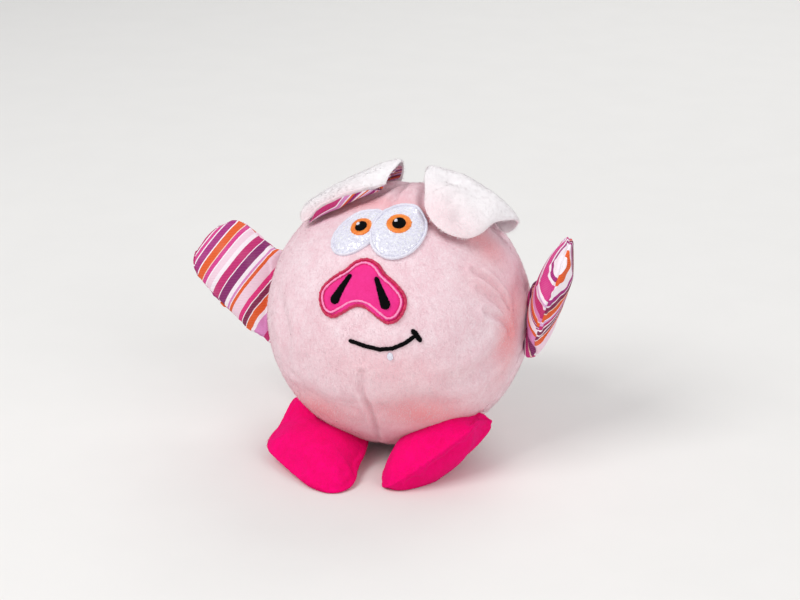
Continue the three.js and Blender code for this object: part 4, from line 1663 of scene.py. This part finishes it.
@dataclass(frozen=True)
class CuffedLie:
    """An ear that lies forward in a low arch, with its rim folded up so that a strip of the lining shows."""

    latitudes: tuple[float, ...] = (44, 52, 63, 71.5, 79, 84)
    heights: tuple[float, ...] = (2.8, 1.6, 1.7, 3.3, 5.9, 7.7)
    folds: tuple[float, ...] = (40.5, 41.5, 43.4, 41.1, 36.9, 31.5)
    cuffs: tuple[float, ...] = (0.6, 4.8, 6.2, 6.4, 6.4, 6.2)
    lining_from: float = 45.0
    crown_turn: float = 4.0
    lining_share: float = 0.985
    fold_point: int = 7
    longest: float = 3.0

    def line(self, latitude: float) -> tuple[np.ndarray, np.ndarray]:
        """The ear's section at a latitude, as forward distances and heights, and how far along it they are."""
        high = np.interp(latitude, self.latitudes, self.heights)
        fold = np.interp(latitude, self.latitudes, self.folds)
        points = (
            (0, 0.6), (-0.8, 0.5 * high), (2.5, 0.85 * high), (9, high), (0.5 * fold, 1.02 * high),
            (0.75 * fold, 0.95 * high), (fold - 3, 0.6 * high + 1), (fold, 2.6), (fold + 1.4, 4.2), (fold + 1.7, 7.2),
            (fold + 1.7, 16),
        )  # fmt: skip
        return smooth_line(points)

    def reach(self, latitude: float, rim: float) -> float:
        """How long the ear is at a latitude for its length in the pattern, with its rim past the fold."""
        _, travelled = self.line(latitude)
        cuff = np.interp(latitude, self.latitudes, self.cuffs)
        return float(min((travelled[self.fold_point * CURVE_STEPS] + cuff) / rim, self.longest))


@dataclass
class Ear(Limb):
    """One ear: a plush layer and a striped lining, sewn into the crown's seam and bent forward."""

    side: Side
    lie: HangingLie | CuffedLie
    dents: tuple[tuple[float, float, float, float], ...] = ()
    layout: StripeLayout = StripeLayout(EAR_TWILL, 104, 15.6)
    hairs: Hairs = Hairs(count=9000, length=2.0, width=0.2, comb=(0, -0.8, -0.35), seed=31, upright=0.4)
    middle_latitude: float = 63.5
    plush_span: Point2 = (0.2, 3.6)
    lining_span: Point2 = (-0.9, 0.1)
    outline: tuple[Point2, ...] = (
        (84, 0), (83, 14), (80, 28), (75, 40), (69, 51), (60, 56), (50, 55), (43.5, 49), (42.5, 40), (44.5, 28),
        (43, 14), (43, 0), (63, 0),
    )  # fmt: skip

    def __post_init__(self) -> None:
        """Works out the ear's section at steps of latitude and length."""
        self.steps = np.arange(EAR_ENDS[0] - 1.0, EAR_ENDS[1] + 2.0)
        lengths = np.arange(0, 81, 1.0)
        sections = [self.lie.line(latitude) for latitude in self.steps]
        self.table = np.array(
            [[np.interp(lengths, travelled, line[:, k]) for k in (0, 1)] for line, travelled in sections]
        ).transpose(0, 2, 1)
        rim = Outline(self.outline).at(np.linspace(0, 1, 1500, endpoint=False), np.ones(1500))
        ends = [np.max(rim[np.abs(rim[:, 0] - latitude) < 0.6, 1], initial=8.0) for latitude in self.steps]
        self.reaches = np.array([self.lie.reach(*pair) for pair in zip(self.steps, ends)])

    def _section(self, latitude: np.ndarray, length: np.ndarray) -> np.ndarray:
        """The forward distance and height at latitudes and lengths along the bent ear."""
        rows, columns = self.table.shape[:2]
        a = np.clip(np.interp(latitude, self.steps, np.arange(rows)), 0, rows - 1.001)
        b = np.clip(length, 0, columns - 2.0)
        i, j = a.astype(int), b.astype(int)
        fa, fb = (a - i)[:, None], (b - j)[:, None]
        near = self.table[i, j] * (1 - fa) + self.table[i + 1, j] * fa
        far = self.table[i, j + 1] * (1 - fa) + self.table[i + 1, j + 1] * fa
        return near * (1 - fb) + far * fb

    def place(self, latitude: np.ndarray, length: np.ndarray, offset: np.ndarray) -> np.ndarray:
        """The toy's places for places of the flat ear.

        Args:
            latitude: Where along the seam they are.
            length: How far from the seam.
            offset: How far to the plush side of the ear's middle.

        Returns:
            One row for each place.
        """
        bent = length * np.interp(latitude, self.steps, self.reaches)
        along = unit(self._section(latitude, bent + 0.6) - self._section(latitude, bent - 0.6))
        at = self._section(latitude, bent) + np.stack([-along[:, 1], along[:, 0]], 1) * offset[:, None]
        turned = np.clip((latitude - 72) / 12, 0, 1) * np.clip(at[:, 0] / 22, 0, 1) * self.lie.crown_turn
        lat, ahead = np.radians(latitude + turned), at[:, 0] / BALL_RADIUS
        direction = np.stack([np.cos(ahead) * np.cos(lat), -np.sin(ahead), np.cos(ahead) * np.sin(lat)], 1)
        toy = direction * (BALL_RADIUS + at[:, 1])[:, None]
        toy[:, 0] *= self.side.value
        return toy

    def _layer(
        self, name: str, span: Point2, grow: float, lumps: float, lowest: float
    ) -> tuple[bpy.types.Object, np.ndarray]:
        """Makes one layer of the ear, with a rounded rim.

        Args:
            name: Its name.
            span: The two offsets from the ear's middle that it fills.
            grow: Its size for that of the ear's outline.
            lumps: How high its lumps are.
            lowest: The latitude that it ends at.

        Returns:
            The layer, and its points' places on the flat ear.
        """
        piece = blank("uv_sphere", name, segments=BLANK_SEGMENTS, ring_count=BLANK_RINGS, radius=1)
        points = places(piece)
        share = np.minimum(np.hypot(points[:, 0], points[:, 1]), 1)
        turn = np.arctan2(points[:, 0], points[:, 1]) / (2 * math.pi)
        flat = Outline(self.outline).at(turn, share * grow)
        flat[:, 1] = np.maximum(flat[:, 1], 0)
        flat[:, 0] = np.maximum(flat[:, 0], lowest)
        middle, half = sum(span) / 2, (span[1] - span[0]) / 2
        offset = middle + np.sign(points[:, 2]) * half * np.clip(1 - share**5, 0, 1) ** 0.5
        toy = self.place(flat[:, 0], flat[:, 1], offset)
        lift = np.where(points[:, 2] > 0, 1.0, 0.35)
        rise = lumps * ripple(toy, 15, 21 + self.side.value)
        across = np.radians(flat[:, 0]) * BALL_RADIUS
        for latitude, length, depth, size in self.dents:
            away = np.hypot(across - math.radians(latitude) * BALL_RADIUS, flat[:, 1] - length) / size
            rise -= depth * np.exp(-(away**2))
        toy += unit(toy) * (lift * rise * min(1.0, lumps * 4))[:, None]
        put(piece, to_world(toy))
        # Painted pink shade towards the ear's far end, about 52 mm from the seam, which the white plush mixes in.
        mark(piece.data, "blush", 0.5 * np.exp(-(((flat[:, 1] - 52) / 15) ** 2)))
        return piece, flat

    def build(self) -> None:
        """Makes the ear's two layers and its pile."""
        body = f"ear_{self.side.word}"
        mid = math.radians(self.middle_latitude)
        base = np.array([self.side.value * math.cos(mid), 0, math.sin(mid)])
        ways = (base * (BALL_RADIUS - 1), base * (BALL_RADIUS + 4) + np.array([0, -8.0, 0]))
        lowest = EAR_ENDS[0] - 1.0
        plush, _ = self._layer(f"{body}_cloth", self.plush_span, grow=1.0, lumps=0.45, lowest=lowest)
        refine(plush)
        outward(plush)
        dress(plush, self.finishes.white_plush)
        self.attach(plush, body, "white_plush", [f"{body}_plush"], ways)
        hairs = grow_pile(plush, f"{body}_pile", self.hairs)
        dress(hairs, self.finishes.white_pile)
        self.attach(hairs, body, "white_plush", (), ways)
        lining, flat = self._layer(
            f"{body}_inside", self.lining_span, grow=self.lie.lining_share, lumps=0.06, lowest=self.lie.lining_from
        )
        self._map(lining, flat)
        refine(lining)
        outward(lining)
        dress(lining, self.finishes.twills[EAR_TWILL])
        self.attach(lining, body, "striped_twill", [f"{body}_lining"], ways)

    def _map(self, piece: bpy.types.Object, flat: np.ndarray) -> None:
        """Lays the cloth map on the lining, whose points have these places on the flat ear."""
        across = np.radians(flat[:, 0]) * BALL_RADIUS
        bent = flat[:, 1] * np.interp(flat[:, 0], self.steps, self.reaches)
        uv = self.layout.map(np.stack([across, bent], 1))
        lay_map(piece, uv[read(piece.data.loops, "vertex_index", np.int32)])


EAR_LEFT_DENTS = (
    (70, 22, 2.4, 6.0), (62, 38, 1.5, 4.0), (54, 44, 1.8, 4.0), (58, 24, 1.3, 5.0), (66, 34, -1.2, 6.0),
)  # fmt: skip


# The room


@dataclass
class Studio:
    """A pale floor, soft lamps and the camera."""

    azimuth: float = 17.0
    elevation: float = 21.5
    lens: float = 85.0
    film: float = 36.0
    distance: float = 0.918
    shift: Point2 = (0.5, 13)
    picture_width: int = 800
    floor_colour: int = 0xE9E7E4
    floor_size: float = 6.0
    floor_rises_from: float = 1.2
    air: Colour = (0.95, 0.97, 1.0)
    air_strength: float = 0.51
    lamps: tuple[tuple[str, Point3, float, float], ...] = (
        ("key", (-0.75, -0.95, 1.35), 0.9, 16.4),
        ("fill", (1.2, -0.75, 0.8), 1.1, 7.0),
        ("back", (0.2, 1.2, 1.2), 0.9, 7.0),
    )
    lamps_look_at: Point3 = (0, 0, 0.06)

    def build(self) -> None:
        """Makes the room."""
        self._floor()
        self._world()
        for lamp in self.lamps:
            self._lamp(*lamp)
        self._camera()

    def _floor(self) -> None:
        """Makes the floor, a wide sheet that rises behind the toy."""
        floor = blank("grid", "floor", x_subdivisions=8, y_subdivisions=60, size=self.floor_size)
        points = places(floor)
        rise = np.clip(points[:, 1] - self.floor_rises_from, 0, None)
        points[:, 2] = rise**2 * 0.55
        put(floor, points)
        graph = Graph("floor_paper")
        mottle = graph.noise(40.0, 3.0)
        base = shade(self.floor_colour)
        colour = graph.mix(mottle.band(0.3, 0.7), tuple(c * 0.985 for c in base), base)
        dress(floor, graph.finish(colour, graph.noise(1.5), 0.05, 0.3, Roughness=0.9))

    def _world(self) -> None:
        """Sets the even light of the room."""
        world = bpy.data.worlds.new("room")
        bpy.context.scene.world = world
        world.use_nodes = True
        ground = world.node_tree.nodes["Background"]
        ground.inputs["Color"].default_value = (*self.air, 1)
        ground.inputs["Strength"].default_value = self.air_strength

    def _lamp(self, name: str, place: Point3, size: float, power: float) -> None:
        """Makes a square lamp that looks at the toy."""
        lamp = bpy.data.lights.new(name, "AREA")
        lamp.energy = power
        lamp.size = size
        holder = bpy.data.objects.new(name, lamp)
        bpy.context.collection.objects.link(holder)
        holder.location = place
        holder.rotation_euler = (Vector(self.lamps_look_at) - Vector(place)).to_track_quat("-Z", "Y").to_euler()

    def _camera(self) -> None:
        """Places the camera at the photograph's angle."""
        az, el = math.radians(self.azimuth), math.radians(self.elevation)
        back = Vector((math.sin(az) * math.cos(el), -math.cos(az) * math.cos(el), math.sin(el)))
        right = Vector((math.cos(az), math.sin(az), 0))
        data = bpy.data.cameras.new("camera")
        data.lens = self.lens
        data.sensor_width = self.film
        data.shift_x, data.shift_y = (shift / self.picture_width for shift in self.shift)
        camera = bpy.data.objects.new("camera", data)
        bpy.context.collection.objects.link(camera)
        turn = Matrix((right, back.cross(right), back)).transposed().to_4x4()
        camera.matrix_world = Matrix.Translation(back * self.distance + Vector((0, 0, BALL_HEIGHT * MM))) @ turn
        bpy.context.scene.camera = camera


def main() -> None:
    """Builds the toy and its room."""
    logging.basicConfig(level=logging.INFO, format="%(message)s")
    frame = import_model()
    bpy.context.scene.view_settings.view_transform = "Standard"
    finishes = Finishes()
    Studio().build()
    ball = Ball(finishes)
    ball.build()
    work = Embroidery(finishes, ball)
    Snout(work).build()
    Mouth(work).build()
    Eyes(work).build()
    Arms(finishes).build()
    Feet(finishes).build()
    Ear(finishes, Side.RIGHT, CuffedLie()).build()
    Ear(finishes, Side.LEFT, HangingLie(), EAR_LEFT_DENTS).build()
    for name in ("squeaker_bulb", "squeaker_reed"):
        dress(frame["nodes"][name], finishes.squeaker_plastic, smooth=False)


if __name__ == "__main__":
    main()
